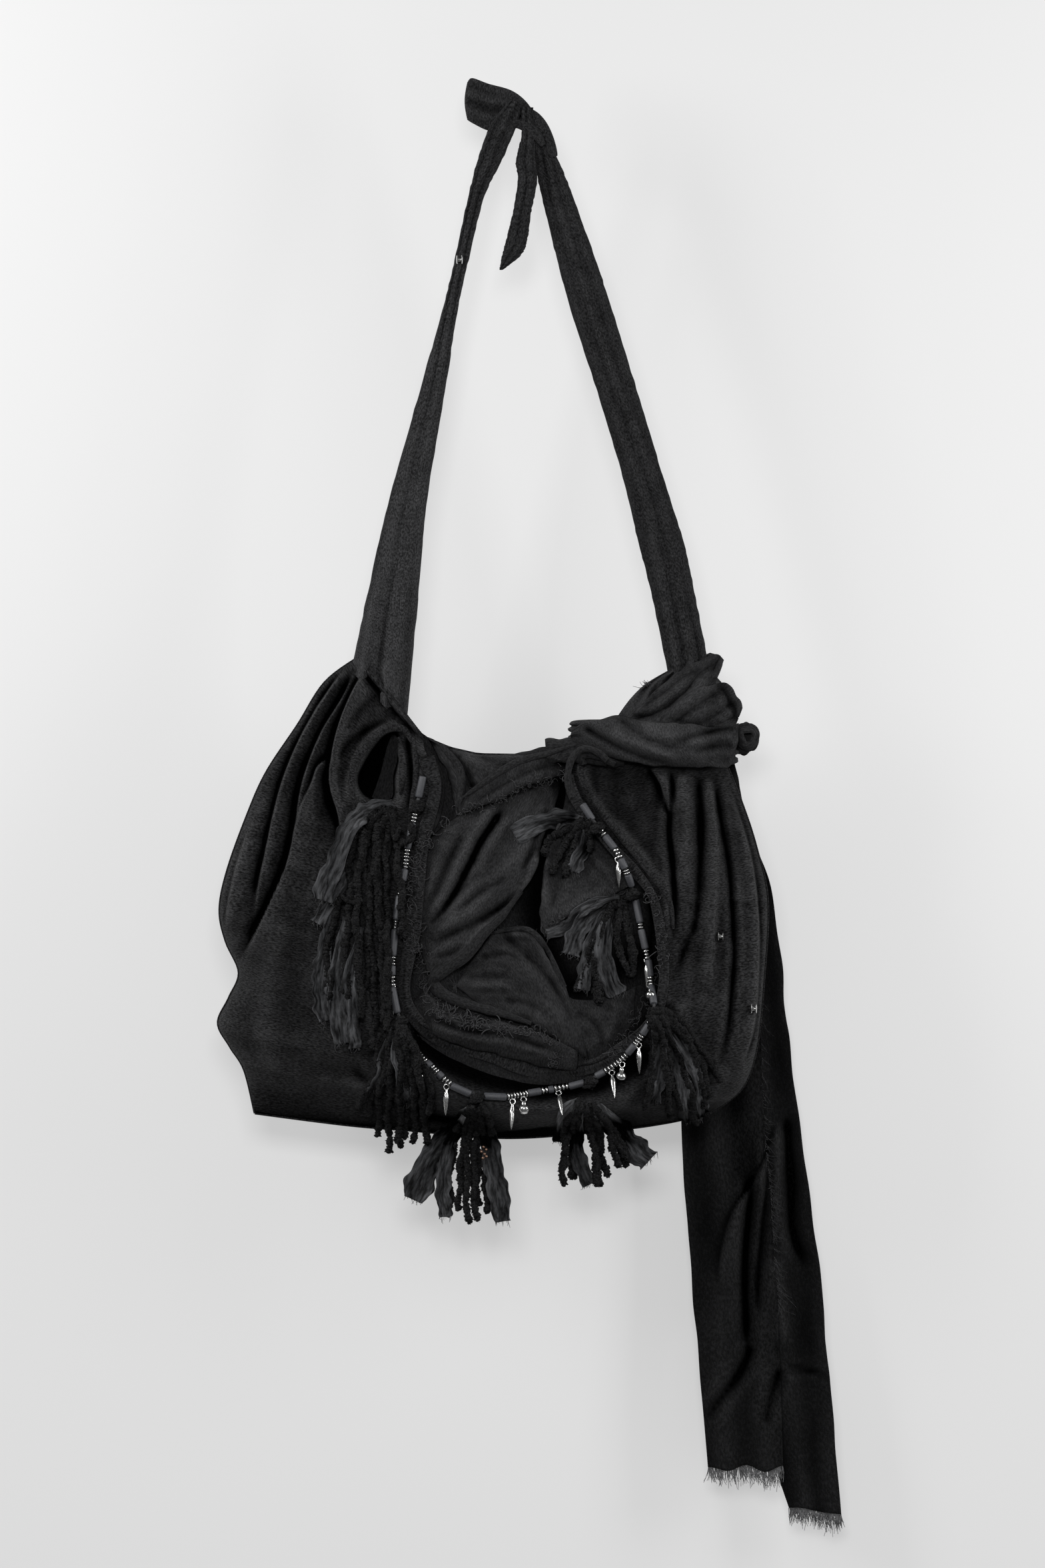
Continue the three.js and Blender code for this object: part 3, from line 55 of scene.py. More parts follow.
# %% Camera
view_height = 1.4118
view_centre = Vector((0.0012, 0.0, -0.5823))
camera_distance = 6.0
camera_data = bpy.data.cameras.new("front_camera")
camera_data.sensor_width = 36
camera_data.lens = 36 * camera_distance / view_height
camera = bpy.data.objects.new("front_camera", camera_data)
bpy.context.scene.collection.objects.link(camera)
camera.location = view_centre - Vector((0, camera_distance, 0))
camera.rotation_euler = (math.pi / 2, 0, 0)
bpy.context.scene.camera = camera
print("lens", round(camera_data.lens, 1), "mm")

# %% [markdown]
# ## Materials
# Black cloth is hard to light: it shows its form only through its grain and its folds, so the folds are
# also painted into its colour, as painted shade in the hollows and painted highlight on the crests. The
# crinkle of the scarf cloth is a stretched noise, and it is used in every cloth with other numbers, so it
# is a node group. It reads a place on the cloth in metres, from the piece's own UV map, so it follows the folds.


# %% A small helper that adds and links nodes
def add_node(tree, kind, values=None, **settings):
    node = tree.nodes.new(kind)
    for name, value in settings.items():
        setattr(node, name, value)
    for name, value in (values or {}).items():
        node.inputs[name].default_value = value
    return node


# %% The crinkle group
crinkle = bpy.data.node_groups.new("Scarf crinkle", "ShaderNodeTree")
for name, kind, default in (
    ("Vector", "NodeSocketVector", (0, 0, 0)),
    ("Across per metre", "NodeSocketFloat", 500.0),
    ("Along per metre", "NodeSocketFloat", 120.0),
    ("Lint", "NodeSocketFloat", 0.3),
):
    socket = crinkle.interface.new_socket(name, in_out="INPUT", socket_type=kind)
    socket.default_value = default
for name in ("Shade", "Height"):
    crinkle.interface.new_socket(name, in_out="OUTPUT", socket_type="NodeSocketFloat")
g_in = add_node(crinkle, "NodeGroupInput")
g_out = add_node(crinkle, "NodeGroupOutput")
g_scale = add_node(crinkle, "ShaderNodeCombineXYZ", {"Z": 300.0})
g_place = add_node(crinkle, "ShaderNodeVectorMath", operation="MULTIPLY")
g_fine = add_node(crinkle, "ShaderNodeTexNoise", {"Scale": 1.0, "Detail": 4.0, "Roughness": 0.62, "Distortion": 0.4})
g_broad = add_node(crinkle, "ShaderNodeTexNoise", {"Scale": 0.085, "Detail": 3.0, "Roughness": 0.55})
g_lint = add_node(crinkle, "ShaderNodeTexNoise", {"Scale": 2.3, "Detail": 1.0})
g_fleck = add_node(crinkle, "ShaderNodeMapRange", {"From Min": 0.7, "From Max": 0.8, "To Min": 0.0, "To Max": 1.0})
g_fleck_on = add_node(crinkle, "ShaderNodeMath", operation="MULTIPLY")
g_mix = add_node(crinkle, "ShaderNodeMath", {1: 0.82}, operation="MULTIPLY")
g_mix2 = add_node(crinkle, "ShaderNodeMath", {1: 0.18, 2: 0.0}, operation="MULTIPLY_ADD")
g_sum = add_node(crinkle, "ShaderNodeMath", operation="ADD")
for a, b in (
    (g_in.outputs["Across per metre"], g_scale.inputs["X"]),
    (g_in.outputs["Along per metre"], g_scale.inputs["Y"]),
    (g_in.outputs["Vector"], g_place.inputs[0]),
    (g_scale.outputs[0], g_place.inputs[1]),
    (g_place.outputs[0], g_fine.inputs["Vector"]),
    (g_place.outputs[0], g_broad.inputs["Vector"]),
    (g_place.outputs[0], g_lint.inputs["Vector"]),
    (g_lint.outputs[0], g_fleck.inputs["Value"]),
    (g_fleck.outputs[0], g_fleck_on.inputs[0]),
    (g_in.outputs["Lint"], g_fleck_on.inputs[1]),
    (g_fine.outputs[0], g_mix.inputs[0]),
    (g_broad.outputs[0], g_mix2.inputs[0]),
    (g_mix.outputs[0], g_mix2.inputs[2]),
    (g_mix2.outputs[0], g_sum.inputs[0]),
    (g_fleck_on.outputs[0], g_sum.inputs[1]),
    (g_sum.outputs[0], g_out.inputs["Shade"]),
    (g_fine.outputs[0], g_out.inputs["Height"]),
):
    crinkle.links.new(a, b)
print("crinkle group with", len(crinkle.nodes), "nodes")


# %% Cloth materials, each with its own crinkle
def cloth_material(name, dark, light, across, along, bump, lint=0.3, rough=0.92, sheer=None, hollow_shade=0.04, crest_highlight=1.9):
    material = bpy.data.materials.new(name)
    material.use_nodes = True
    tree = material.node_tree
    shader = tree.nodes["Principled BSDF"]
    shader.inputs["Roughness"].default_value = rough
    shader.inputs["Sheen Roughness"].default_value = 0.6
    place = add_node(tree, "ShaderNodeUVMap", uv_map="cloth")
    values = {"Across per metre": across, "Along per metre": along, "Lint": lint}
    grain = add_node(tree, "ShaderNodeGroup", node_tree=crinkle)
    for key, value in values.items():
        grain.inputs[key].default_value = value
    ramp = add_node(tree, "ShaderNodeValToRGB")
    ramp.color_ramp.elements[0].position, ramp.color_ramp.elements[1].position = 0.41, 0.61
    ramp.color_ramp.elements[0].color, ramp.color_ramp.elements[1].color = (*dark, 1), (*light, 1)
    relief = add_node(tree, "ShaderNodeBump", {"Strength": 0.8, "Distance": bump})
    # Painted shade and painted highlight: a point attribute scales the colour, the specular and the sheen, down to a
    # twenty-fifth in the hollows of the cloth and up to nearly twice on its crests.
    fold = add_node(tree, "ShaderNodeAttribute", attribute_name="fold")
    depth = add_node(
        tree, "ShaderNodeMapRange", {"From Min": -4.0, "From Max": 4.0, "To Min": hollow_shade, "To Max": crest_highlight}
    )
    shaded = add_node(tree, "ShaderNodeVectorMath", operation="SCALE")
    shaded_gloss, shaded_sheen = (add_node(tree, "ShaderNodeMath", {1: share}, operation="MULTIPLY") for share in (0.06, 0.025))
    links = [
        (place.outputs[0], grain.inputs["Vector"]),
        (grain.outputs["Shade"], ramp.inputs[0]),
        (fold.outputs["Fac"], depth.inputs["Value"]),
        (ramp.outputs[0], shaded.inputs[0]),
        (depth.outputs[0], shaded.inputs["Scale"]),
        (shaded.outputs[0], shader.inputs["Base Color"]),
        (depth.outputs[0], shaded_gloss.inputs[0]),
        (shaded_gloss.outputs[0], shader.inputs["Specular IOR Level"]),
        (depth.outputs[0], shaded_sheen.inputs[0]),
        (shaded_sheen.outputs[0], shader.inputs["Sheen Weight"]),
        (grain.outputs["Height"], relief.inputs["Height"]),
        (relief.outputs[0], shader.inputs["Normal"]),
    ]
    if sheer is not None:
        holes = add_node(tree, "ShaderNodeMapRange", {"From Min": 0.3, "From Max": 0.6, "To Min": sheer, "To Max": 1.0})
        links += [(grain.outputs["Height"], holes.inputs["Value"]), (holes.outputs[0], shader.inputs["Alpha"])]
    for a, b in links:
        tree.links.new(a, b)
    return material


black = lambda value: (value, value * 1.0, value * 1.04)
pouch_cloth = cloth_material("pouch crepe", black(0.0022), black(0.0260), 300, 800, 0.0020, lint=0.12)
strap_cloth = cloth_material("strap crepe", black(0.0055), black(0.032), 900, 420, 0.0014, lint=0.15)
gauze_cloth = cloth_material("scarf gauze", black(0.0095), black(0.027), 820, 360, 0.0009, lint=0.16)
hem_cloth = cloth_material("hem cloth", black(0.005), black(0.034), 450, 700, 0.0014, lint=0.2)
tail_cloth = cloth_material("tail gauze", black(0.0022), black(0.0105), 500, 260, 0.0010, lint=0.1, sheer=0.93)
ribbon_cloth = cloth_material("torn ribbon", black(0.008), (0.052, 0.053, 0.056), 320, 60, 0.0008, lint=0.1, rough=0.75)
yarn_cloth = cloth_material("chenille yarn", black(0.0006), black(0.0230), 900, 900, 0.0026, lint=0.1, rough=0.97)
thread_cloth = cloth_material("loose thread", black(0.020), black(0.085), 900, 900, 0.0004, lint=0.2)
fringe_cloth = cloth_material("pale fringe", (0.05, 0.05, 0.051), (0.26, 0.26, 0.265), 900, 200, 0.0004, lint=0.3)
print("cloth materials:", [m.name for m in bpy.data.materials if m.name.split()[-1] in ("crepe", "gauze", "cloth")])


# %% Silver and slate
def hard_material(name, colour, rough, metal, wear, grain):
    material = bpy.data.materials.new(name)
    material.use_nodes = True
    tree = material.node_tree
    shader = tree.nodes["Principled BSDF"]
    shader.inputs["Metallic"].default_value = metal
    place = add_node(tree, "ShaderNodeTexCoord")
    noise = add_node(tree, "ShaderNodeTexNoise", {"Scale": grain, "Detail": 4.0, "Roughness": 0.6})
    ramp = add_node(tree, "ShaderNodeValToRGB")
    ramp.color_ramp.elements[0].position, ramp.color_ramp.elements[1].position = 0.35, 0.7
    ramp.color_ramp.elements[0].color = (*[c * wear for c in colour], 1)
    ramp.color_ramp.elements[1].color = (*colour, 1)
    shine = add_node(tree, "ShaderNodeMapRange", {"To Min": rough * 0.8, "To Max": min(rough * 1.4, 1)})
    relief = add_node(tree, "ShaderNodeBump", {"Strength": 0.25, "Distance": 0.0002})
    for a, b in (
        (place.outputs["Object"], noise.inputs["Vector"]),
        (noise.outputs[0], ramp.inputs[0]),
        (ramp.outputs[0], shader.inputs["Base Color"]),
        (noise.outputs[0], shine.inputs["Value"]),
        (shine.outputs[0], shader.inputs["Roughness"]),
        (noise.outputs[0], relief.inputs["Height"]),
        (relief.outputs[0], shader.inputs["Normal"]),
    ):
        tree.links.new(a, b)
    return material


silver = hard_material("worn silver", (0.78, 0.78, 0.77), 0.22, 1.0, 0.55, 600)
slate = hard_material("slate bead", (0.062, 0.064, 0.072), 0.5, 0.0, 0.6, 900)
brass = hard_material("aged brass", (0.42, 0.27, 0.2), 0.35, 1.0, 0.6, 900)
print("hard materials:", silver.name, slate.name)

# %% [markdown]
# ## Meshes from grids, tubes and piles
# Cloth is made as a grid of points, yarn and thread as thin tubes, and the many small strands of one
# piece are piled into one mesh. Sizes are written in millimetres and made metres as the mesh is made.
# Each gets a UV map named cloth that holds the place on the flat cloth in metres, and a point attribute
# of painted shade that darkens the hollows of the cloth and lightens its crests.


# %% Mesh helpers
def finish_mesh(name, points, faces, uvs, material, fold=None):
    mesh = bpy.data.meshes.new(name)
    mesh.from_pydata((np.asarray(points) * MM).tolist(), [], faces)
    mesh.update()
    piece = bpy.data.objects.new(name, mesh)
    bpy.context.scene.collection.objects.link(piece)
    mesh.materials.append(material)
    mesh.shade_smooth()
    layer = mesh.uv_layers.new(name="cloth")
    corner_points = np.zeros(len(mesh.loops), dtype=np.int32)
    mesh.loops.foreach_get("vertex_index", corner_points)
    layer.data.foreach_set("uv", (np.asarray(uvs)[corner_points] * MM).astype(np.float32).ravel())
    # This point attribute holds painted shade: below zero it darkens the cloth, above zero it lightens it.
    painted_shade_layer = mesh.attributes.new("fold", "FLOAT", "POINT")
    if fold is not None:
        painted_shade_layer.data.foreach_set("value", np.asarray(fold, dtype=np.float32).ravel())
    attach(piece, "root")
    return piece


def apply_all(piece):
    bpy.ops.object.select_all(action="DESELECT")
    piece.select_set(True)
    bpy.context.view_layer.objects.active = piece
    for modifier in list(piece.modifiers):
        bpy.ops.object.modifier_apply(modifier=modifier.name)
    bpy.ops.object.select_all(action="DESELECT")
    return piece


def flat_places(grid):
    across = np.linalg.norm(np.diff(grid, axis=1), axis=2)
    down = np.linalg.norm(np.diff(grid, axis=0), axis=2)
    u = np.concatenate([np.zeros((grid.shape[0], 1)), np.cumsum(across, axis=1)], axis=1)
    v = np.concatenate([np.zeros((1, grid.shape[1])), np.cumsum(down, axis=0)], axis=0)
    u -= u.mean(axis=1, keepdims=True)
    return np.stack([u, -v.mean(axis=1, keepdims=True).repeat(grid.shape[1], 1)], axis=-1)


def blurred(values, reach):
    for axis in (0, 1):
        pad = [(reach, reach) if k == axis else (0, 0) for k in (0, 1)]
        total = np.cumsum(np.pad(values, pad, mode="edge"), axis=axis)
        total = np.insert(total, 0, 0, axis=axis)
        size = values.shape[axis]
        ahead, behind = np.arange(size) + 2 * reach + 1, np.arange(size)
        values = (np.take(total, ahead, axis=axis) - np.take(total, behind, axis=axis)) / (2 * reach + 1)
    return values


def stands_out(grid, reach=4):
    """How far each point stands out of the cloth around it, towards the front, in millimetres; used as painted shade.
    """
    near, far = blurred(grid[..., 1], reach), blurred(grid[..., 1], 4 * reach)
    return 0.6 * (near - grid[..., 1]) + 0.5 * (far - grid[..., 1])


def grid_faces(rows, columns, first=0, around=False):
    r, c = np.meshgrid(np.arange(rows - 1), np.arange(columns if around else columns - 1), indexing="ij")
    a = first + r * columns + c
    b = first + r * columns + (c + 1) % columns
    return np.stack([a, a + columns, b + columns, b], axis=-1).reshape(-1, 4)


def cloth_sheet(name, grid, material, thick=0.9, smooth=1):
    faces = grid_faces(grid.shape[0], grid.shape[1]).tolist()
    uvs = flat_places(grid).reshape(-1, 2)
    # Painted shade: points that lie back from the cloth around them are painted darker, points that stand out lighter.
    piece = finish_mesh(name, grid.reshape(-1, 3), faces, uvs, material, stands_out(grid))
    wall = piece.modifiers.new("wall", "SOLIDIFY")
    wall.thickness = thick * MM
    wall.offset = -1
    if smooth:
        soft = piece.modifiers.new("soft", "SUBSURF")
        soft.levels = soft.render_levels = smooth
    return apply_all(piece)


def declare_sheet(piece, grid):
    """Returns the width and length that the grid of piece measures along the cloth, and the area of one side of piece,
    in metres.
    """
    wide = np.linalg.norm(np.diff(grid, axis=1), axis=2).sum(axis=1).max() * MM
    long = np.linalg.norm(np.diff(grid, axis=0), axis=2).sum(axis=0).max() * MM
    area = sum(face.area for face in piece.data.polygons) / 2
    area = float(np.clip(area, 0.31 * wide * long, wide * long))
    return round(float(wide), 3), round(float(long), 3), round(area, 4)


def frames_along(path):
    along = np.gradient(path, axis=0)
    along /= np.linalg.norm(along, axis=1, keepdims=True) + 1e-9
    side = np.cross(np.array([0.0, 1.0, 0.0]), along)
    weak = np.linalg.norm(side, axis=1) < 0.05
    side[weak] = np.cross(np.array([1.0, 0.0, 0.0]), along[weak])
    side /= np.linalg.norm(side, axis=1, keepdims=True) + 1e-9
    return along, side, np.cross(along, side)


class Pile:
    """Many small closed tubes in one mesh."""

    def __init__(self):
        self.points, self.faces, self.uvs, self.count = [], [], [], 0

    def add(self, points, faces, uvs):
        self.points.append(points)
        self.faces.extend((np.asarray(faces) + self.count).tolist())
        self.uvs.append(uvs)
        self.count += len(points)

    def tube(self, path, radius, sides=6, flat=1.0, twist=0.0):
        path = np.asarray(path, dtype=float)
        radius = np.broadcast_to(np.asarray(radius, dtype=float), (len(path),))
        _, side, back = frames_along(path)
        angle = 2 * np.pi * np.arange(sides) / sides
        turn = np.linspace(0, twist, len(path))[:, None]
        x = np.cos(angle)[None, :] * radius[:, None]
        y = np.sin(angle)[None, :] * radius[:, None] * flat
        x, y = x * np.cos(turn) - y * np.sin(turn), x * np.sin(turn) + y * np.cos(turn)
        points = path[:, None, :] + side[:, None, :] * x[..., None] + back[:, None, :] * y[..., None]
        faces = grid_faces(len(path), sides, around=True)[:, ::-1]
        long = np.concatenate([[0], np.cumsum(np.linalg.norm(np.diff(path, axis=0), axis=1))])
        girth = np.arange(sides) * radius.mean() * 2 * np.pi / sides
        uvs = np.stack(np.broadcast_arrays(girth[None, :], long[:, None]), axis=-1) + chance.uniform(0, 90, 2)
        self.add(points.reshape(-1, 3), faces, uvs.reshape(-1, 2))
        first, last = self.count - len(path) * sides, self.count - sides
        self.faces.append(list(range(first, first + sides)))
        self.faces.append(list(range(last, last + sides))[::-1])

    def make(self, name, material, slot):
        points, uvs = np.concatenate(self.points), np.concatenate(self.uvs)
        return finish_mesh(name, points, self.faces, uvs, material)


print("mesh helpers ready")

# %% [markdown]
# ## The outlines of the bag
# The outlines are the same tables that the CAD model was built from: shares of the bag's width and
# height, measured on the photograph. A smooth line goes through each table. The four lines round the
# pouch span a patch, so each place on the pouch has two shares: u from left to right and v downwards.


# %% Smooth lines and the patch
def spline(points, share):
    points = np.asarray(points, dtype=float)
    place = np.clip(np.asarray(share, dtype=float), 0, 1) * (len(points) - 1)
    i = np.minimum(place.astype(int), len(points) - 2)
    w = (place - i)[..., None]
    a, b, c, d = (points[np.clip(i + k, 0, len(points) - 1)] for k in (-1, 0, 1, 2))
    p, q = (c - a) / 2, (d - b) / 2
    return ((2 * b - 2 * c + p + q) * w + (-3 * b + 3 * c - 2 * p - q)) * w * w + p * w + b


def ease(share):
    share = np.clip(share, 0, 1)
    return share * share * (3 - 2 * share)


def mix(a, b, share):
    return a + (b - a) * share


bag_left, bag_top, bag_wide, bag_tall, bag_deep = -273, -466, 495, 435, 108


def outline(rows, left=bag_left, top=bag_top, wide=bag_wide, tall=bag_tall):
    return np.array([(left + across * wide, top - down * tall) for across, down in rows])


left_line = outline(
    [(0.262, 0), (0.195, 0.056), (0.145, 0.145), (0.088, 0.243), (0.053, 0.332), (0.017, 0.446)]
    + [(0.003, 0.527), (0.014, 0.592), (0.038, 0.657), (0.02, 0.71), (0.0, 0.762), (0.022, 0.811)]
    + [(0.048, 0.86), (0.067, 0.949)]
)
right_line = outline(
    [(0.915, 0.2), (0.951, 0.3), (0.979, 0.397), (1.0, 0.511), (0.993, 0.673), (0.979, 0.819)]
    + [(0.951, 0.9), (0.894, 0.949)]
)
bottom_line = outline(
    [(0.067, 0.949), (0.231, 0.973), (0.345, 0.984), (0.53, 1.0), (0.716, 0.984), (0.815, 0.969), (0.894, 0.949)]
)
rim_share = [0, 0.3, 0.36, 0.42, 0.5, 0.58, 0.66, 0.72, 0.78, 1]
rim_line = outline(
    [(0.262, 0), (0.338, 0.114), (0.374, 0.167), (0.423, 0.19), (0.473, 0.203), (0.58, 0.205), (0.66, 0.226)]
    + [(0.72, 0.22), (0.776, 0.198), (0.915, 0.2)]
)
belly_down = [0, 0.2, 0.4, 0.6, 0.78, 0.9, 1]
belly_deep = [0.5, 0.66, 0.84, 1, 0.98, 0.74, 0]
neckline = outline(
    [(0.372, 0.1), (0.376, 0.2), (0.392, 0.275), (0.368, 0.387), (0.359, 0.49), (0.35, 0.58), (0.337, 0.695)]
    + [(0.362, 0.76), (0.415, 0.805), (0.496, 0.833), (0.578, 0.862), (0.64, 0.864), (0.7, 0.845)]
    + [(0.747, 0.806), (0.79, 0.75), (0.806, 0.69), (0.808, 0.63), (0.801, 0.565), (0.788, 0.5)]
    + [(0.758, 0.45), (0.7, 0.38), (0.65, 0.3), (0.637, 0.24), (0.652, 0.2), (0.652, 0.1)]
)
neckline_fine = spline(neckline, np.linspace(0, 1, 260))


def on_pouch(u, v):
    u, v = np.broadcast_arrays(np.asarray(u, dtype=float), np.asarray(v, dtype=float))
    top = np.stack([np.interp(u, rim_share, rim_line[:, axis]) for axis in (0, 1)], -1)
    bottom, left, right = spline(bottom_line, u), spline(left_line, v), spline(right_line, v)
    u, v = u[..., None], v[..., None]
    corners = mix(mix(rim_line[0], rim_line[-1], u), mix(bottom_line[0], bottom_line[-1], u), v)
    return mix(top, bottom, v) + mix(left, right, u) - corners


def half_depth(u, v):
    side = np.clip(1 - np.abs(2 * u - 1) ** 2.6, 0, 1) ** (1 / 2.6)
    belly = np.interp(v, belly_down, belly_deep) * bag_deep / 2
    mouth = np.sin(np.pi * np.clip((u - 0.24) / 0.52, 0, 1)) ** 2
    return side * mix(mix(16, belly, mouth), belly, ease(v / 0.42))


print("pouch middle at", on_pouch(0.5, 0.5).round(1), "half depth", round(float(half_depth(0.5, 0.5)), 1))

# %% [markdown]
# ## Folds
# A fold is a line on the front view. Cloth near it is pushed in for a valley and out for a ridge, and the
# push dies out along the line and away from it. A lattice of random numbers adds the small crumples.


# %% Lines, distances and crumples
def near_line(x, z, line):
    distance, along = np.full(x.shape, 1e9), np.zeros(x.shape)
    side, near_x, near_z = np.zeros(x.shape), np.zeros(x.shape), np.zeros(x.shape)
    lengths = np.linalg.norm(np.diff(line, axis=0), axis=1)
    starts = np.concatenate([[0], np.cumsum(lengths)])
    for (ax, az), (bx, bz), length, start in zip(line[:-1], line[1:], lengths, starts):
        dx, dz = bx - ax, bz - az
        t = np.clip(((x - ax) * dx + (z - az) * dz) / (length**2 + 1e-9), 0, 1)
        gap_x, gap_z = x - ax - t * dx, z - az - t * dz
        gap = np.hypot(gap_x, gap_z)
        closer = gap < distance
        distance = np.where(closer, gap, distance)
        side = np.where(closer, np.sign(dx * gap_z - dz * gap_x), side)
        along = np.where(closer, (start + t * length) / starts[-1], along)
        near_x, near_z = np.where(closer, ax + t * dx, near_x), np.where(closer, az + t * dz, near_z)
    return distance, side, along, near_x, near_z


def folded(x, z, folds):
    push = np.zeros(x.shape)
    for kind, out, wide, points in folds:
        line = spline(points, np.linspace(0, 1, 5 * len(points)))
        distance, side, along, _, _ = near_line(x, z, line)
        if kind == "valley":
            shape = -np.exp(-((distance / wide) ** 1.3)) + 0.4 * np.exp(-(((distance - 2.1 * wide) / (1.2 * wide)) ** 2))
        elif kind == "ridge":
            shape = np.exp(-((distance / wide) ** 2))
        else:
            over = ease((side * distance + 1.6) / 3.2)
            shape = mix(-0.8 * np.exp(-((distance / wide) ** 1.2)), np.exp(-distance / (2.4 * wide)), over)
            shape = shape * np.exp(-((distance / (6 * wide)) ** 2))
        push += out * shape * ease(along / 0.1) * ease((1 - along) / 0.22)
    return push


def crumple(x, z, size, seed, ridged=False):
    lattice = np.random.default_rng(seed).uniform(-1, 1, (97, 97))
    px, pz = x / size + 40, z / size + 40
    i, k = np.floor(px).astype(int), np.floor(pz).astype(int)
    fx, fz = ease(px - i), ease(pz - k)
    pick = lambda a, b: lattice[(i + a) % 97, (k + b) % 97]
    value = mix(mix(pick(0, 0), pick(1, 0), fx), mix(pick(0, 1), pick(1, 1), fx), fz)
    return 0.5 - np.abs(value) if ridged else value


def inside(polygon, x, z):
    hit = np.zeros(x.shape, dtype=bool)
    for (ax, az), (bx, bz) in zip(polygon, np.roll(polygon, -1, axis=0)):
        if az != bz:
            hit ^= ((az > z) != (bz > z)) & (x < (bx - ax) * (z - az) / (bz - az) + ax)
    return hit


print("a fold helper and a crumple helper are ready")

# %% [markdown]
# ## The pouch
# The front panel has the U-shaped neckline cut out of it. Its deepest folds fan out from the gathered
# left shoulder. One of them gapes, so a hole is cut there and its lip rolls in. Under the neckline the
# cloth falls back in a deep hollow and then rolls out again. The inside of the gape and a band under
# the hem are painted black as painted shade.

# %% The fold lines of the front
front_folds = [
    ("pleat", 4, 6, [(-247, -626), (-256, -656), (-264, -693), (-266, -719)]),
    ("pleat", 7, 6, [(-155, -474), (-165, -486), (-184, -514), (-201, -545), (-214, -577), (-223, -611), (-229, -641), (-236, -674), (-241, -712)]),
    ("pleat", 9, 7, [(-149, -478), (-161, -504), (-179, -534), (-193, -568), (-200, -596), (-204, -626), (-211, -656), (-227, -693), (-242, -723), (-256, -750)]),
    ("pleat", 8, 5, [(-173, -558), (-183, -567), (-188, -581), (-197, -603), (-202, -627)]),
    ("pleat", 12, 7, [(-142, -481), (-154, -504), (-164, -529), (-169, -549), (-172, -570), (-171, -588), (-164, -611), (-161, -637)]),
    ("pleat", 4, 4, [(-143, -479), (-128, -496), (-116, -512), (-103, -526), (-87, -543)]),
    ("valley", 3, 4, [(-164, -562), (-154, -545), (-137, -533), (-115, -526)]),
    ("valley", 2.5, 4, [(-158, -534), (-143, -514), (-128, -501)]),
    ("ridge", 8, 5, [(-147, -603), (-152, -581), (-146, -560), (-133, -541), (-118, -531), (-104, -533)]),
    ("valley", 5, 3.2, [(-103, -538), (-100, -562), (-98, -585), (-101, -615)]),
    ("ridge", 5, 3.6, [(-109, -538), (-107, -566), (-109, -592)]),
    ("ridge", 5, 4, [(-92, -545), (-77, -566), (-73, -585), (-77, -611), (-83, -626)]),
    ("valley", 4, 3, [(-87, -545), (-68, -566), (-63, -588), (-69, -615)]),
    ("ridge", 4, 4.5, [(-75, -545), (-56, -566), (-53, -585), (-58, -603)]),
    ("valley", 3, 9, [(-154, -656), (-169, -708), (-165, -760), (-139, -813)]),
    ("ridge", 3, 12, [(-210, -701), (-225, -753), (-229, -805), (-214, -858)]),
    ("valley", 18, 13, [(-101, -790), (-75, -813), (-38, -831), (14, -845), (59, -839), (100, -822)]),
    ("ridge", 6, 14, [(-90, -846), (-45, -868), (7, -876), (67, -866), (130, -845)]),
    ("valley", 3, 4, [(-154, -835), (-120, -861), (-75, -882), (-15, -889)]),
    ("pleat", 2.5, 2.5, [(-53, -899), (-38, -898), (7, -892), (74, -881), (100, -873)]),
    ("ridge", 5, 4.5, [(63, -558), (56, -573), (62, -592), (77, -613), (94, -631), (111, -652), (125, -671), (135, -687)]),
    ("pleat", 6, 4, [(115, -567), (124, -581), (130, -598), (133, -612)]),
    ("valley", 4.2, 3, [(132, -566), (136, -583), (134, -603), (133, -626), (136, -656), (137, -693), (134, -730)]),
    ("valley", 2.6, 3.4, [(158, -568), (161, -596), (161, -626), (160, -663), (157, -701), (145, -734), (131, -766)]),
    ("ridge", 6, 6, [(145, -570), (148, -611), (147, -656), (145, -686)]),
    ("ridge", 6, 5, [(167, -573), (172, -618), (173, -663), (170, -716), (166, -775)]),
    ("valley", 3.4, 3, [(172, -570), (180, -618), (186, -656), (189, -693), (191, -734), (188, -772), (183, -813), (171, -850)]),
    ("pleat", 6, 5, [(198, -835), (209, -802), (213, -764), (214, -723), (212, -686), (207, -648), (196, -609), (183, -573)]),
    ("pleat", 1.8, 2, [(186, -686), (201, -688), (216, -686)]),
    ("valley", 5, 6, [(128, -775), (138, -820), (153, -850)]),
    ("valley", 4, 5, [(171, -828), (157, -861), (134, -876)]),
]
print(len(front_folds), "fold lines on the front")

# %% The front and the back panel
gape = spline(
    [(-116, -538), (-110, -547), (-113, -560), (-117, -575), (-118, -593), (-129, -594), (-140, -588), (-143, -577), (-139, -567), (-130, -552), (-123, -543), (-116, -538)],
    np.linspace(0, 1, 60),
)


# A line under the hem along which the pouch is painted black, as a painted shadow.
hem_shadow_line = spline(
    [(-88, -811), (-62, -830), (-34, -841), (7, -849), (44, -851), (80, -843), (106, -826)], np.linspace(0, 1, 50)
)


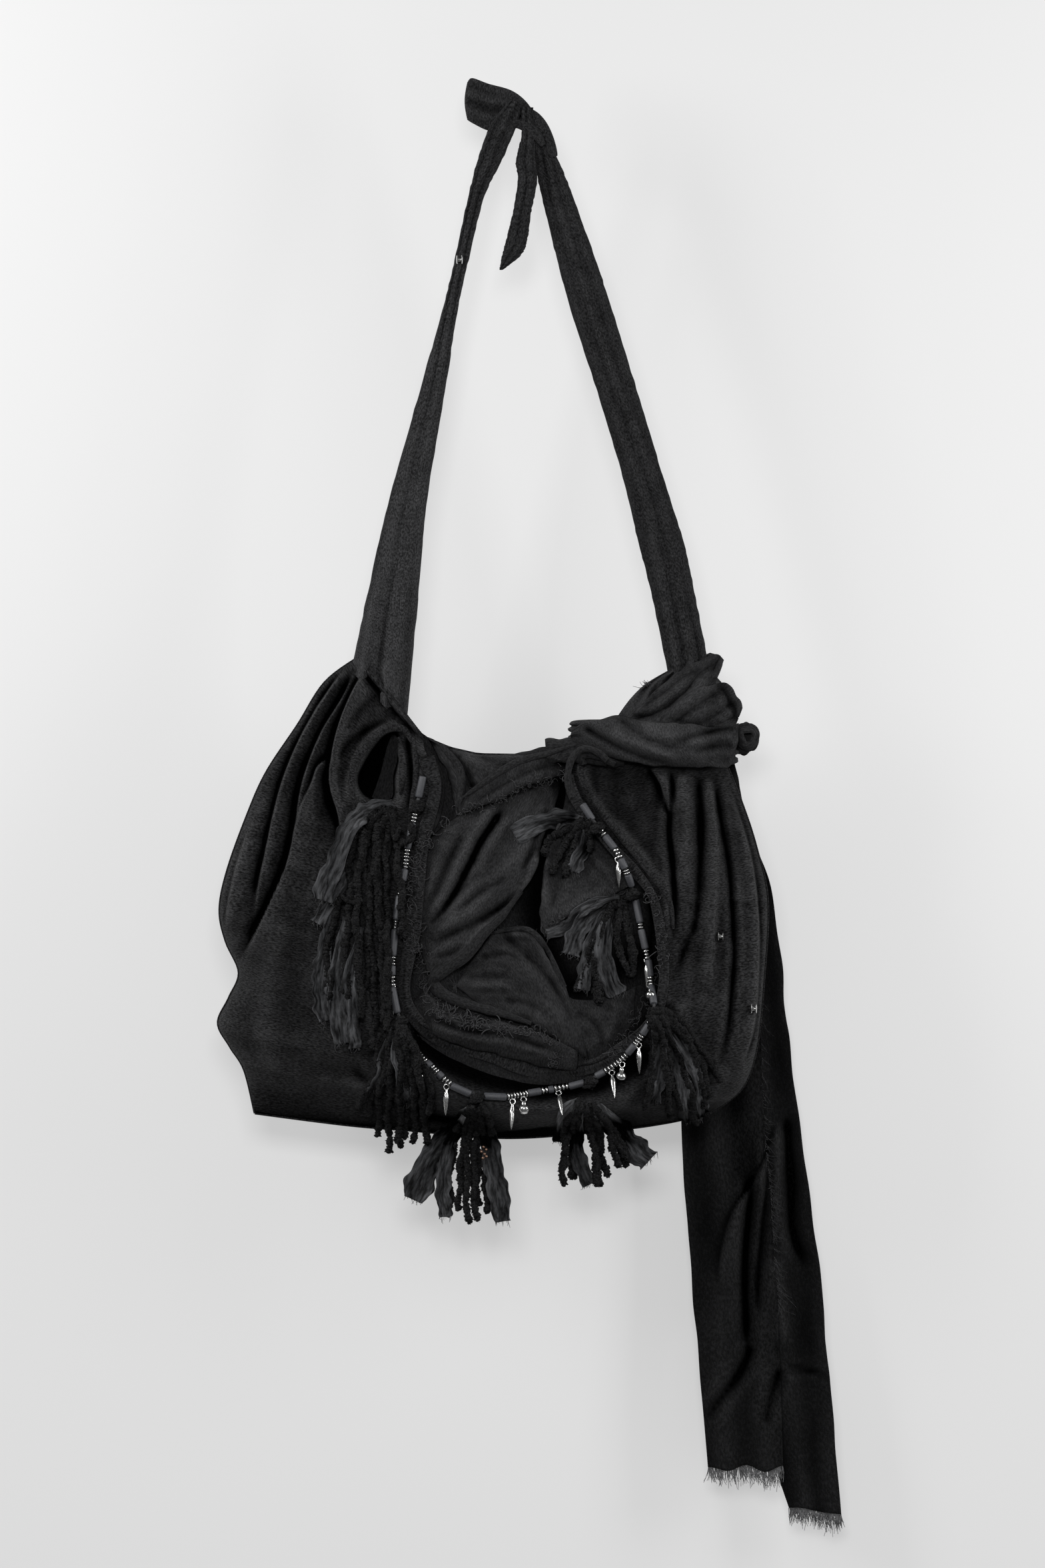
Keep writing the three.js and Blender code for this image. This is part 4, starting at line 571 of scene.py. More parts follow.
def pouch_grid(rows, columns, front):
    t = np.linspace(0, 1, columns)
    u, v = np.meshgrid(mix(t, (1 - np.cos(np.pi * t)) / 2, 0.55), np.linspace(0, 1, rows))
    place = on_pouch(u, v)
    x, z = place[..., 0], place[..., 1]
    if front:
        push = 1.3 * folded(x, z, front_folds)
        from_gape = near_line(x, z, gape)[0]
        push += 1.1 * crumple(x, z / 7, 6.5, 11) * ease((u - 0.6) / 0.15) * ease((0.85 - v) / 0.3)
        push += 0.9 * crumple(x - 0.42 * z, z / 7, 7, 12) * ease((0.42 - u) / 0.2) * ease((0.8 - v) / 0.4)
        push -= 22 * np.where(inside(gape, x, z), 1 + ease(from_gape / 6), np.exp(-((from_gape / 3.5) ** 1.4)))
    else:
        left, right = u < 0.36, u > 0.62
        along = np.where(left, u / 0.34, (u - 0.62) / 0.38) * 5 + 0.6 * crumple(x, z, 120, 3)
        push = np.where(left | right, -np.cos(2 * np.pi * along), 0) * 4.5 * (1 - 0.8 * ease((v - 0.45) / 0.5))
        push += 3 * crumple(x, z, 90, 4)
    push += 1.8 * crumple(x, z, 52, 7) + 0.9 * crumple(x + 0.4 * z, z, 21, 8, True) + 0.5 * crumple(x, z, 9, 9)
    calm = ease(u / 0.035) * ease((1 - u) / 0.035) * ease((1 - v) / 0.05)
    depth = np.maximum(half_depth(u, v) + push * calm, 1.0 * (1 - v) + 0.2)
    closed = (u <= 0) | (u >= 1) | (v >= 1)
    return np.stack([x, np.where(closed, 0, -depth if front else depth), z], -1)


def pouch_panel(name, grid, front, cut=()):
    flat = flat_places(grid).reshape(-1, 2)
    points = grid.reshape(-1, 3).copy()
    faces = grid_faces(grid.shape[0], grid.shape[1])
    middle = points[faces].mean(axis=1)
    keep = np.ones(len(faces), dtype=bool)
    for polygon in cut:
        keep &= ~inside(polygon, middle[:, 0], middle[:, 2])
    gone, kept = np.zeros(len(points), dtype=bool), np.zeros(len(points), dtype=bool)
    gone[faces[~keep].ravel()] = True
    kept[faces[keep].ravel()] = True
    edge = gone & kept
    for polygon in cut:
        distance, _, _, near_x, near_z = near_line(points[:, 0], points[:, 2], polygon)
        snap = edge & (distance < 4)
        points[snap, 0], points[snap, 2] = near_x[snap], near_z[snap]
    faces = faces[keep] if front else faces[keep][:, ::-1]
    number = np.full(len(points), -1)
    used = np.unique(faces)
    number[used] = np.arange(len(used))
    # Painted shade: hollows darker, crests lighter; the gape and the band under the hem are painted black.
    fold = stands_out(grid).ravel() * (1 if front else -1)
    if front:
        fold[inside(gape, points[:, 0], points[:, 2])] = -4
        hem_shadow = np.exp(-((near_line(points[:, 0], points[:, 2], hem_shadow_line)[0] / 17) ** 4))
        fold = mix(fold, -4, hem_shadow)
    piece = finish_mesh(name, points[used], number[faces].tolist(), flat[used], pouch_cloth, fold[used])
    wall = piece.modifiers.new("wall", "SOLIDIFY")
    wall.thickness, wall.offset = 1.8 * MM, -1
    return apply_all(piece)


front_grid = pouch_grid(190, 204, True)
back_grid = pouch_grid(70, 76, False)
pouch_front = pouch_panel("front_panel", front_grid, True, (neckline_fine, gape.mean(axis=0) + 0.3 * (gape - gape.mean(axis=0))))
pouch_rear = pouch_panel("rear_panel", back_grid, False)
print("pouch front", len(pouch_front.data.polygons), "faces, rear", len(pouch_rear.data.polygons), "faces")


# %% Rays that find the front of what is there
def tree_of(piece):
    mesh = piece.data
    return BVHTree.FromPolygons([v.co for v in mesh.vertices], [p.vertices for p in mesh.polygons])


def front_at(trees, x, z, missing=np.nan, reach=0.0):
    x, z = np.broadcast_arrays(np.asarray(x, dtype=float), np.asarray(z, dtype=float))
    found = np.full(x.shape, np.inf)
    offsets = [(0, 0)] if not reach else [(a * reach, b * reach) for a in (-1, 0, 1) for b in (-1, 0, 1)]
    for index in np.ndindex(x.shape):
        for dx, dz in offsets:
            start = Vector(((x[index] + dx) * MM, -0.6, (z[index] + dz) * MM))
            for tree in trees:
                hit = tree.ray_cast(start, Vector((0, 1, 0)))[0]
                if hit is not None:
                    found[index] = min(found[index], hit.y / MM)
    return np.where(np.isfinite(found), found, missing)


def smooth_run(values, width):
    if width < 2:
        return values
    kernel = np.hanning(width + 2)[1:-1]
    kernel /= kernel.sum()
    return np.convolve(np.pad(values, width // 2, mode="edge"), kernel, mode="valid")[: len(values)]


pouch_tree = tree_of(pouch_front)
seam = Pile()
for line in (left_line, right_line, bottom_line):
    run = spline(line, np.linspace(0, 1, 90))
    seam.tube(np.stack([run[:, 0], np.zeros(90), run[:, 1]], -1), 1.1, sides=6)
side_seam = seam.make("pouch_seam", pouch_cloth, "pouch_cloth")
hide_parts("pouch_front")
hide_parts("pouch_rear")
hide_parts("pouch_rear")
for panel, grid in ((pouch_front, front_grid), (pouch_rear, back_grid)):
    print(panel.name, "cut", declare_sheet(panel, grid))
print("front of the pouch at its lower middle:", front_at([pouch_tree], [-20], [-870]))

# %% [markdown]
# ## The rolled hem
# The edge of the neckline is rolled and sewn. Its section has two ridges with a furrow between them, and
# a row of small stitches runs beside it.


# %% A band along a path that lies on the cloth
def lying_band(path, wide, thick, ridges=2, around=14, wobble=0.35, seed=1):
    count = len(path)
    along, side, _ = frames_along(path)
    angle = 2 * np.pi * np.arange(around) / around
    a = np.cos(angle)[None, :]
    share = np.linspace(0, 1, count)[:, None]
    rng = np.random.default_rng(seed)
    drift = crumple(share * 400 + a * 3, share * 0 + 5 * a, 9, seed)
    out = np.sin(angle)[None, :] * (0.78 + 0.3 * np.cos(np.pi * ridges * (a + 0.25 * wobble * drift)))
    width = wide / 2 * (1 + wobble * 0.4 * crumple(share * 500, share * 0, 23, seed + 1))
    height = thick / 2 * (1 + wobble * 0.6 * drift)
    points = path[:, None, :] + side[:, None, :] * (a * width)[..., None]
    points[..., 1] -= out * height
    faces = grid_faces(count, around, around=True)
    long = np.concatenate([[0], np.cumsum(np.linalg.norm(np.diff(path, axis=0), axis=1))])
    uvs = np.stack(np.broadcast_arrays(angle[None, :] * wide / 3, long[:, None]), -1) + rng.uniform(0, 50, 2)
    return points.reshape(-1, 3), faces, uvs.reshape(-1, 2)


def add_band(pile, path, *args, **settings):
    points, faces, uvs = lying_band(path, *args, **settings)
    around = settings.get("around", 14)
    first = pile.count
    pile.add(points, faces, uvs)
    last = pile.count - around
    pile.faces.append(list(range(first, first + around))[::-1])
    pile.faces.append(list(range(last, last + around)))


def path_on(trees, points, lift, reach=0.0, run=7):
    points = np.asarray(points, dtype=float)
    y = front_at(trees, points[:, 0], points[:, 1], missing=np.nan, reach=reach)
    known = np.flatnonzero(~np.isnan(y))
    y = np.interp(np.arange(len(y)), known, y[known])
    return np.stack([points[:, 0], smooth_run(y, run) - lift, points[:, 1]], -1)


hem_share = np.linspace(0.045, 0.91, 420)
hem_line = spline(neckline, hem_share)
hem_path = path_on([pouch_tree], hem_line, 2.2, reach=4.0, run=15)
hem_middle = np.array([6.0, -680.0])
hem_in = (hem_middle - hem_line) / np.linalg.norm(hem_middle - hem_line, axis=1, keepdims=True)
on_right = ease((hem_share - 0.52) / 0.1)[:, None]
hem_path[:, [0, 2]] += mix(2.5, -0.5, on_right) * hem_in
pile = Pile()
add_band(pile, hem_path, mix(12.5, 9, on_right), 6.4, ridges=2, around=20, wobble=0.5, seed=21)
hem = pile.make("rolled_hem", hem_cloth, "pouch_cloth")
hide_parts("neckline_hem")
edges = Pile()
for line, wide in (
    ([(-146, -609), (-152, -585), (-148, -561), (-134, -542), (-119, -532), (-105, -534), (-98, -545)], 4.4),
    ([(-110, -540), (-106, -566), (-108, -592)], 3.4),
    ([(-97, -540), (-94, -566), (-96, -592), (-101, -618)], 3.2),
    ([(59, -551), (53, -564), (56, -581), (69, -603), (85, -623), (101, -643), (118, -664), (132, -686), (136, -712)], 4.0),
    ([(-91, -795), (-66, -807), (-34, -814), (1, -823), (35, -832), (61, -831), (82, -822)], 3.6),
):
    run = path_on([pouch_tree, tree_of(hem)], spline(line, np.linspace(0, 1, 120)), -0.8, reach=2.0, run=21)
    taper = np.clip(np.sin(np.pi * np.linspace(0.03, 0.97, 120)), 0, 1) ** 0.5
    edges.tube(run, wide * taper * (1 + 0.12 * crumple(run[:, 0], run[:, 2], 8, 97)), sides=14, flat=0.75)
pouch_edges = edges.make("pouch_rolled_edges", hem_cloth, "pouch_cloth")
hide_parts("pouch_front")
print("hem", len(hem.data.polygons), "faces")

# %% [markdown]
# ## The scarf inside the neckline
# Behind the U of the neckline lies a second scarf. Its base sheet follows the inside of the pouch and is
# painted dark as painted shade, black along a slit and a gap. Over it lie flaps with their own edges: a
# rolled band that runs up to the right, a left and a right sheet, a pocket-like fold and a raw lip. Each
# flap is a patch between four lines of the front view.


# %% Patches of cloth on the front view
def patch(top, bottom, left, right, rows, columns):
    u, v = np.meshgrid(np.linspace(0, 1, columns), np.linspace(0, 1, rows))
    t, b, l, r = spline(top, u), spline(bottom, u), spline(left, v), spline(right, v)
    u, v = u[..., None], v[..., None]
    corners = mix(mix(t[0, 0], t[0, -1], u), mix(b[-1, 0], b[-1, -1], u), v)
    return mix(t, b, v) + mix(l, r, u) - corners, u[..., 0], v[..., 0]


def scarf_base(rows=64, columns=58):
    u, v = np.meshgrid(np.linspace(0, 1, columns), np.linspace(0, 1, rows))
    on_u, on_v = mix(0.31, 0.75, u), mix(0.012, 0.93, v)
    place = on_pouch(on_u, on_v)
    x, z = place[..., 0], place[..., 1]
    away, _, _, _, _ = near_line(x, z, neckline_fine)
    opening = ease(np.where(inside(neckline_fine, x, z), away, 0) / 26)
    push = 1.6 * crumple(x, z, 38, 31) + 1.2 * crumple(x - 0.5 * z, z, 15, 32, True)
    depth = half_depth(on_u, on_v) - 14 + (4.5 + push) * opening
    return np.stack([x, -depth, z], -1)


base_grid = scarf_base()
scarf_sheet = cloth_sheet("scarf_base", base_grid, gauze_cloth, thick=0.8, smooth=0)
# Painted shade: the whole base sheet is painted darker, as it lies in the shade of the flaps, and black along a slit
# and along the gap at the right rim.
slit_shadow = spline([(41, -577), (26, -626), (16, -659), (15, -701), (24, -734), (41, -764), (71, -753), (100, -738)], np.linspace(0, 1, 40))
rim_gap_shadow = spline([(91, -626), (106, -652), (118, -682), (124, -716), (126, -749), (121, -779), (108, -805)], np.linspace(0, 1, 40))
spots = np.array([vertex.co[:] for vertex in scarf_sheet.data.vertices]) / MM
from_slit_shadow, edge = (near_line(spots[:, 0], spots[:, 2], line)[0] for line in (slit_shadow, rim_gap_shadow))
scarf_sheet.data.attributes["fold"].data.foreach_set("value", -0.6 - 3.4 * (np.exp(-((from_slit_shadow / 24) ** 2)) + np.exp(-((edge / 11) ** 2))))
scarf_tree = tree_of(scarf_sheet)
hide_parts("inner_scarf")
print("scarf cut", declare_sheet(scarf_sheet, base_grid))

flap_rows = [
    dict(
        name="scarf_rim",
        top=[(-86, -540), (-68, -547), (-42, -555), (-15, -556), (18, -550), (49, -546)],
        bottom=[(-58, -611), (-38, -598), (-15, -583), (7, -570), (29, -563), (49, -558)],
        left=[(-86, -540), (-69, -566), (-62, -588), (-58, -611)],
        right=[(49, -546), (49, -552), (49, -558)],
        lift=6,
        bulge=2,
        behind=-14,
        folds=[
            ("valley", 3, 4, [(-68, -548), (-53, -566), (-44, -585), (-42, -600)]),
            ("ridge", 2.5, 5, [(-53, -555), (-34, -566), (-19, -573)]),
            ("valley", 2, 4, [(-38, -557), (-15, -566), (7, -563)]),
        ],
    ),
    dict(
        name="scarf_low",
        top=[(39, -773), (59, -775), (82, -772), (102, -764)],
        bottom=[(61, -830), (72, -828), (85, -820)],
        left=[(39, -773), (50, -802), (61, -830)],
        right=[(102, -764), (100, -794), (85, -820)],
        lift=3,
        bulge=2,
        folds=[("valley", 2, 3, [(48, -785), (67, -798), (76, -820)]), ("ridge", 2, 4, [(82, -775), (84, -794), (76, -816)])],
    ),
    dict(
        name="scarf_right",
        top=[(39, -575), (47, -581), (54, -596)],
        bottom=[(22, -719), (41, -702), (61, -691), (82, -682), (98, -674)],
        left=[(39, -575), (38, -603), (26, -633), (20, -659), (17, -686), (18, -710), (22, -719)],
        right=[(54, -596), (71, -626), (91, -656), (98, -674)],
        lift=5,
        bulge=3,
        folds=[
            ("ridge", 3, 4, [(35, -611), (24, -641), (21, -671), (20, -701)]),
            ("valley", 2.5, 4, [(41, -641), (33, -671), (26, -701)]),
            ("valley", 2, 3, [(48, -626), (59, -648), (82, -671)]),
            ("ridge", 2.5, 5, [(33, -704), (56, -687), (82, -674)]),
        ],
    ),
    dict(
        name="scarf_left",
        top=[(-88, -637), (-70, -620), (-53, -609), (-19, -597), (14, -584), (40, -575)],
        bottom=[(-88, -740), (-84, -749), (-75, -755)],
        left=[(-88, -637), (-96, -663), (-98, -693), (-94, -717), (-88, -740)],
        right=[(40, -575), (30, -603), (20, -633), (14, -658), (0, -680), (-17, -701), (-34, -717), (-51, -739), (-66, -748), (-75, -755)],
        lift=8,
        bulge=4,
        folds=[
            ("valley", 8, 4, [(-15, -603), (-27, -620), (-38, -637), (-46, -654), (-55, -671), (-68, -691), (-85, -712)]),
            ("valley", 3, 3, [(-34, -659), (-53, -678), (-68, -695), (-85, -712)]),
            ("valley", 3, 3.2, [(-11, -665), (-34, -678), (-58, -695), (-82, -716)]),
            ("valley", 3.5, 3.4, [(5, -678), (-15, -691), (-38, -704), (-64, -717), (-83, -729)]),
            ("ridge", 3, 7, [(11, -626), (-12, -656), (-38, -687), (-68, -714)]),
            ("valley", 3, 4, [(-51, -626), (-63, -648), (-73, -674), (-86, -702)]),
            ("ridge", 3, 5, [(-68, -630), (-79, -656), (-86, -686)]),
            ("ridge", 5, 4, [(17, -641), (4, -674), (-17, -699), (-37, -715), (-55, -736), (-72, -749)]),
            ("valley", 3, 3, [(26, -603), (14, -626), (8, -644), (-1, -663)]),
            ("valley", 2, 3, [(-45, -727), (-64, -734), (-79, -739)]),
        ],
    ),
    dict(
        name="scarf_roll",
        top=[(-57, -598), (-38, -583), (-19, -570), (-1, -561), (22, -555), (49, -547)],
        bottom=[(-55, -611), (-38, -603), (-19, -597), (-4, -588), (16, -581), (42, -573)],
        left=[(-57, -598), (-57, -604), (-55, -611)],
        right=[(49, -547), (47, -560), (42, -573)],
        lift=11,
        bulge=5,
        behind=-18,
        folds=[
            ("ridge", 3, 4, [(-53, -596), (-36, -584), (-17, -571), (1, -563), (24, -556), (46, -549)]),
            ("valley", 2.5, 3, [(-44, -600), (-15, -583), (7, -572), (41, -563)]),
        ],
    ),
    dict(
        name="scarf_lip",
        top=[(-86, -766), (-72, -782), (-53, -790), (-15, -795), (22, -807), (52, -822)],
        bottom=[(-101, -785), (-85, -803), (-53, -817), (-15, -826), (18, -835), (49, -839)],
        left=[(-86, -766), (-95, -775), (-101, -785)],
        right=[(52, -822), (51, -831), (49, -839)],
        lift=6,
        bulge=3,
        folds=[
            ("valley", 4, 3, [(-83, -790), (-53, -802), (-15, -807), (18, -817), (41, -826)]),
            ("pleat", 2.5, 2, [(-68, -785), (-60, -794), (-57, -805)]),
            ("pleat", 2, 2, [(-19, -796), (-15, -805), (-14, -815)]),
        ],
    ),
    dict(
        name="scarf_pocket",
        top=[(-58, -762), (-48, -745), (-36, -729), (-27, -716), (-14, -714), (4, -713), (14, -721)],
        bottom=[(-58, -762), (-38, -778), (-15, -787), (7, -794), (22, -805), (41, -816), (61, -828)],
        left=[(-58, -762), (-58, -763), (-58, -763)],
        right=[(14, -721), (26, -739), (39, -762), (49, -787), (56, -809), (61, -828)],
        lift=6,
        bulge=4,
        folds=[
            ("valley", 2.5, 4, [(-19, -716), (3, -734), (26, -757), (41, -783), (52, -809)]),
            ("ridge", 4, 3.5, [(-15, -716), (7, -718), (22, -736), (34, -759), (44, -785)]),
            ("valley", 2, 3, [(-49, -755), (-27, -755), (-8, -753)]),
            ("ridge", 2, 4, [(-45, -764), (-23, -762), (-1, -766)]),
            ("valley", 2, 3, [(-15, -777), (7, -779), (29, -794)]),
            ("valley", 2.4, 3, [(-38, -738), (-15, -734), (3, -742)]),
        ],
    ),
]
frays = Pile()


def fray(edge, outward, count, long, seed, pile=None, radius=0.32, splay=1.0):
    rng = np.random.default_rng(seed)
    edge, outward = np.asarray(edge), np.asarray(outward, dtype=float)
    for _ in range(count):
        place = rng.uniform(0, len(edge) - 1.001)
        i = int(place)
        start = mix(edge[i], edge[i + 1], place - i)
        way = outward[min(i, len(outward) - 1)] if outward.ndim == 2 else outward
        way = way + splay * rng.normal(0, 0.35, 3) * [1, 0.25, 1]
        curl, reach = splay * rng.normal(0, 0.5, 3) * [1, 0.3, 1], long * rng.uniform(0.35, 1.25)
        t = np.linspace(0, 1, 5)[:, None]
        path = start + reach * (way * t + curl * t**2 * 0.8) + [0, -0.4, 0]
        (pile or frays).tube(path, np.linspace(radius, radius * 0.6, 5), sides=3)


def make_flap(row, trees, node, seed, size=60):
    place, u, v = patch(row["top"], row["bottom"], row["left"], row["right"], size, size)
    x, z = place[..., 0], place[..., 1]
    base = front_at(trees, x, z)
    base = np.where(np.isnan(base), row.get("behind", np.nanmean(base)), base)
    base = blurred(base, row["calm"]) if "calm" in row else base
    rim = np.clip(np.sin(np.pi * u) * np.sin(np.pi * v), 0, 1) ** 0.4
    push = folded(x, z, row["folds"]) + 1.4 * crumple(x, z, 24, seed) + 1.1 * crumple(x + 0.5 * z, z, 8, seed + 10, True)
    y = base - row["lift"] * (0.35 + 0.65 * rim) - row["bulge"] * rim - push
    y = mix(y, row["behind"], row["flatten"]) if "flatten" in row else y
    wave = 1.2 * crumple(x, z, 8, seed + 20)
    grid = np.stack([x + wave * (1 - rim), y, z + wave * (1 - rim)], -1)
    piece = cloth_sheet(row["name"], grid, gauze_cloth, thick=0.9, smooth=0)
    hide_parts(node)
    print(piece.name, "cut", declare_sheet(piece, grid))
    row["grid"] = grid
    return piece


flaps = {}
for n, row in enumerate(flap_rows):
    flaps[row["name"]] = make_flap(row, [scarf_tree], "inner_scarf", 41 + n)
for n, (name, side) in enumerate(
    [("scarf_left", "left"), ("scarf_left", "bottom"), ("scarf_roll", "bottom"), ("scarf_lip", "top"), ("scarf_lip", "bottom")]
    + [("scarf_pocket", "top"), ("scarf_pocket", "left"), ("scarf_roll", "top"), ("scarf_pocket", "bottom")]
):
    grid = next(row["grid"] for row in flap_rows if row["name"] == name)
    pairs = {"left": (grid[:, 0], grid[:, 1]), "top": (grid[0], grid[1]), "bottom": (grid[-1], grid[-2])}
    edge, inner = pairs[side]
    way = edge - inner
    way /= np.linalg.norm(way, axis=1, keepdims=True) + 1e-9
    fray(edge, way, 130, 6.5, 70 + n)
lips = Pile()
lip_trees = [tree_of(piece) for piece in flaps.values()] + [scarf_tree]
for line, wide, lift in (
    ([(0, -678), (-17, -700), (-33, -716), (-48, -734), (-66, -747), (-78, -756), (-75, -766), (-60, -775), (-38, -782), (-15, -788), (9, -796)], 6.0, 1.5),
    ([(-27, -716), (-14, -713), (4, -712), (16, -720), (28, -739), (40, -763)], 2.6, 1),
    ([(-89, -547), (-78, -565), (-73, -585), (-76, -611), (-84, -631)], 4.4, 3),
    ([(-73, -547), (-57, -565), (-53, -585), (-57, -603)], 3.6, 2),
    ([(-53, -595), (-36, -583), (-17, -570), (1, -561), (24, -555), (49, -547)], 3.2, 1),
):
    run = path_on(lip_trees, spline(line, np.linspace(0, 1, 110)), lift, reach=2.0, run=15)
    share = np.linspace(0, 1, 110)
    taper = np.clip(np.sin(np.pi * share), 0.12, 1) ** 0.5
    rough = 1 + 0.14 * crumple(run[:, 0], run[:, 2], 7, 96)
    lips.tube(run, wide * taper * rough, sides=14, flat=0.7)
scarf_lips = lips.make("scarf_rolled_lips", gauze_cloth, "scarf_gauze")
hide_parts("inner_scarf")
print("flaps:", list(flaps))

# %% [markdown]
# ## The straps
# Each strap is the same cloth folded lengthwise in several layers. The folds run along it as ridges that
# wander, and they spread where the strap joins the pouch. The left strap ends in a slanting gather.


# %% A folded band with lengthwise ridges
def folded_band(name, left, right, y_middle, thick, ridges, seed, material, rows=210, around=60, depth=0.3, pale=0):
    v = np.linspace(0, 1, rows)
    a_edge, b_edge = spline(left, v), spline(right, v)
    angle = 2 * np.pi * np.arange(around) / around
    across, out = np.cos(angle)[None, :], np.sin(angle)[None, :]
    wide = np.linalg.norm(b_edge - a_edge, axis=1)[:, None]
    drift = 0.5 * crumple(v[:, None] * 300 + 0 * across, 0 * v[:, None] + across, 70, seed)
    comb = np.cos(np.pi * ridges * (across + drift)) + 0.4 * np.cos(np.pi * (2 * ridges + 1) * (across - 0.6 * drift) + 1)
    fine = crumple(across * wide / 2, v[:, None] * 460, 7, seed + 1) + crumple(across * wide / 2, v[:, None] * 460, 3.2, seed + 2)
    body = np.sign(out) * np.clip(np.abs(out), 0, 1) ** 0.55
    height = thick(v)[:, None] / 2 * body * (1 + depth * comb * np.abs(out)) - 0.45 * fine * np.abs(out)
    share = ((across + 1) / 2)[..., None]
    place = mix(a_edge[:, None, :], b_edge[:, None, :], share)
    rag = 0.5 * crumple(v[:, None] * 460 + 0 * across, across * 2, 5, seed + 3)
    x = place[..., 0] + rag * across
    points = np.stack([x, y_middle(v)[:, None] - height, place[..., 1]], -1)
    faces = grid_faces(rows, around, around=True)
    run = np.concatenate([[0], np.cumsum(np.linalg.norm(np.diff(place[:, 0], axis=0), axis=1))])[:, None]
    uvs = np.stack(np.broadcast_arrays(angle[None, :] * wide / 2.6, run), -1)
    faces = faces.tolist()
    faces.append(list(range(around))[::-1])
    faces.append(list(range((rows - 1) * around, rows * around)))
    # Painted shade: the lengthwise ridges are painted lighter and the furrows darker; pale paints the lower part
    # lighter as a painted sheen.
    fold = (0.7 * comb + 0.6 * fine) * np.abs(out) + pale * ease((v[:, None] - 0.35) / 0.45)
    return finish_mesh(name, points.reshape(-1, 3), faces, uvs.reshape(-1, 2), material, fold)


strap_drop, strap_wide = 466, 44


def strap_edges(rows, shoulder, slant):
    edges = []
    for side in (-1, 1):
        edge = [(reach * shoulder + side * wide * strap_wide / 2, -down * strap_drop) for down, reach, wide in rows]
        edge[-1] = (edge[-1][0], edge[-1][1] - side * slant)
        edges.append(edge)
    return edges


left_rows = [(-0.068, 0.035, 0.3), (-0.02, 0.13, 0.55), (0.045, 0.228, 0.5), (0.118, 0.328, 0.33), (0.234, 0.428, 0.29)]
left_rows += [(0.34, 0.519, 0.32), (0.494, 0.645, 0.53), (0.704, 0.82, 0.79), (0.87, 0.92, 1.03), (1.088, 1.03, 1.12)]
right_rows = [(-0.02, 0.077, 0.34), (0.045, 0.15, 0.51), (0.113, 0.215, 0.64), (0.22, 0.315, 0.77), (0.333, 0.42, 0.85)]
right_rows += [(0.507, 0.59, 0.82), (0.66, 0.732, 0.83), (0.78, 0.835, 0.93), (0.888, 0.913, 0.89), (1.06, 1.02, 0.8)]
a, b = strap_edges(left_rows, -124.5, 26.5)
# The lower part of the left strap is painted lighter, as a painted sheen.
strap_left = folded_band(
    "strap_left_cloth", a, b, lambda v: mix(-6.0, 0.0, ease(v / 0.3)), lambda v: mix(6.5, 27, ease((v - 0.84) / 0.16)),
    2.1, 81, strap_cloth, pale=2.6,
)
a, b = strap_edges(right_rows, 150.5, -7.4)
strap_right = folded_band(
    "strap_right_cloth", a, b, lambda v: 0 * v, lambda v: mix(6.5, 16, ease((v - 0.84) / 0.16)),
    2.6, 91, strap_cloth,
)
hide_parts("strap_left")
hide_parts("strap_right")
print("straps", len(strap_left.data.polygons) + len(strap_right.data.polygons), "faces")


# %% The flat loop of the strap knot and its loose end
def pad_between(name, area, behind, thick, relief, material, rows=60, columns=80):
    u, v = np.meshgrid(np.linspace(0, 1, columns), np.linspace(0, 1, rows))
    place = area(u, v)
    closed = (u == 0) | (u == 1) | (v == 0) | (v == 1)
    full = np.sqrt(np.clip(np.sin(np.pi * u) * np.sin(np.pi * v), 0, 1))
    full = full**0.7
    faces, points, uvs, folds, count = [], [], [], [], 0
    for side in (-1, 1):
        y = behind + np.where(closed, 0, side * (full * thick(u, v) / 2 + full * relief(u, v, side)))
        grid = np.stack([place[..., 0], y, place[..., 1]], -1)
        points.append(grid.reshape(-1, 3))
        # Painted shade on both faces: points that lie back are painted darker, points that stand out lighter.
        folds.append(-side * stands_out(grid, 3).ravel())
        new = grid_faces(rows, columns, first=count)
        faces.append(new if side < 0 else new[:, ::-1])
        uvs.append(flat_places(points[-1].reshape(rows, columns, 3)).reshape(-1, 2))
        count += rows * columns
    points, faces, uvs = (np.concatenate(part) for part in (points, faces, uvs))
    piece = finish_mesh(name, points, faces.tolist(), uvs, material, np.concatenate(folds))
    weld = piece.modifiers.new("weld", "WELD")
    weld.merge_threshold = 0.02 * MM
    return apply_all(piece)


def area_of(top, bottom, left, right):
    def area(u, v):
        t, b, l, r = top(u), bottom(u), left(v), right(v)
        one, zero = np.ones_like(u), np.zeros_like(u)
        u3, v3 = u[..., None], v[..., None]
        corners = mix(mix(top(zero), top(one), u3), mix(bottom(zero), bottom(one), u3), v3)
        return mix(t, b, v3) + mix(l, r, u3) - corners

    return area


loop_above = outline(
    [(0.03, 0.08), (0.1, 0.0), (0.32, 0.11), (0.63, 0.24), (0.84, 0.47), (1.0, 0.82)], -50.5, 53.7, 66, 46
)
loop_below = outline(
    [(0.03, 0.82), (0.12, 0.9), (0.32, 1.03), (0.55, 1.03), (0.72, 0.98), (0.86, 0.98)], -50.5, 53.7, 66, 46
)


def loop_side(end, bulge):
    return lambda v: mix(loop_above[end], loop_below[end], v[..., None]) + np.stack(
        [bulge * np.sin(np.pi * v), 0 * v], -1
    )


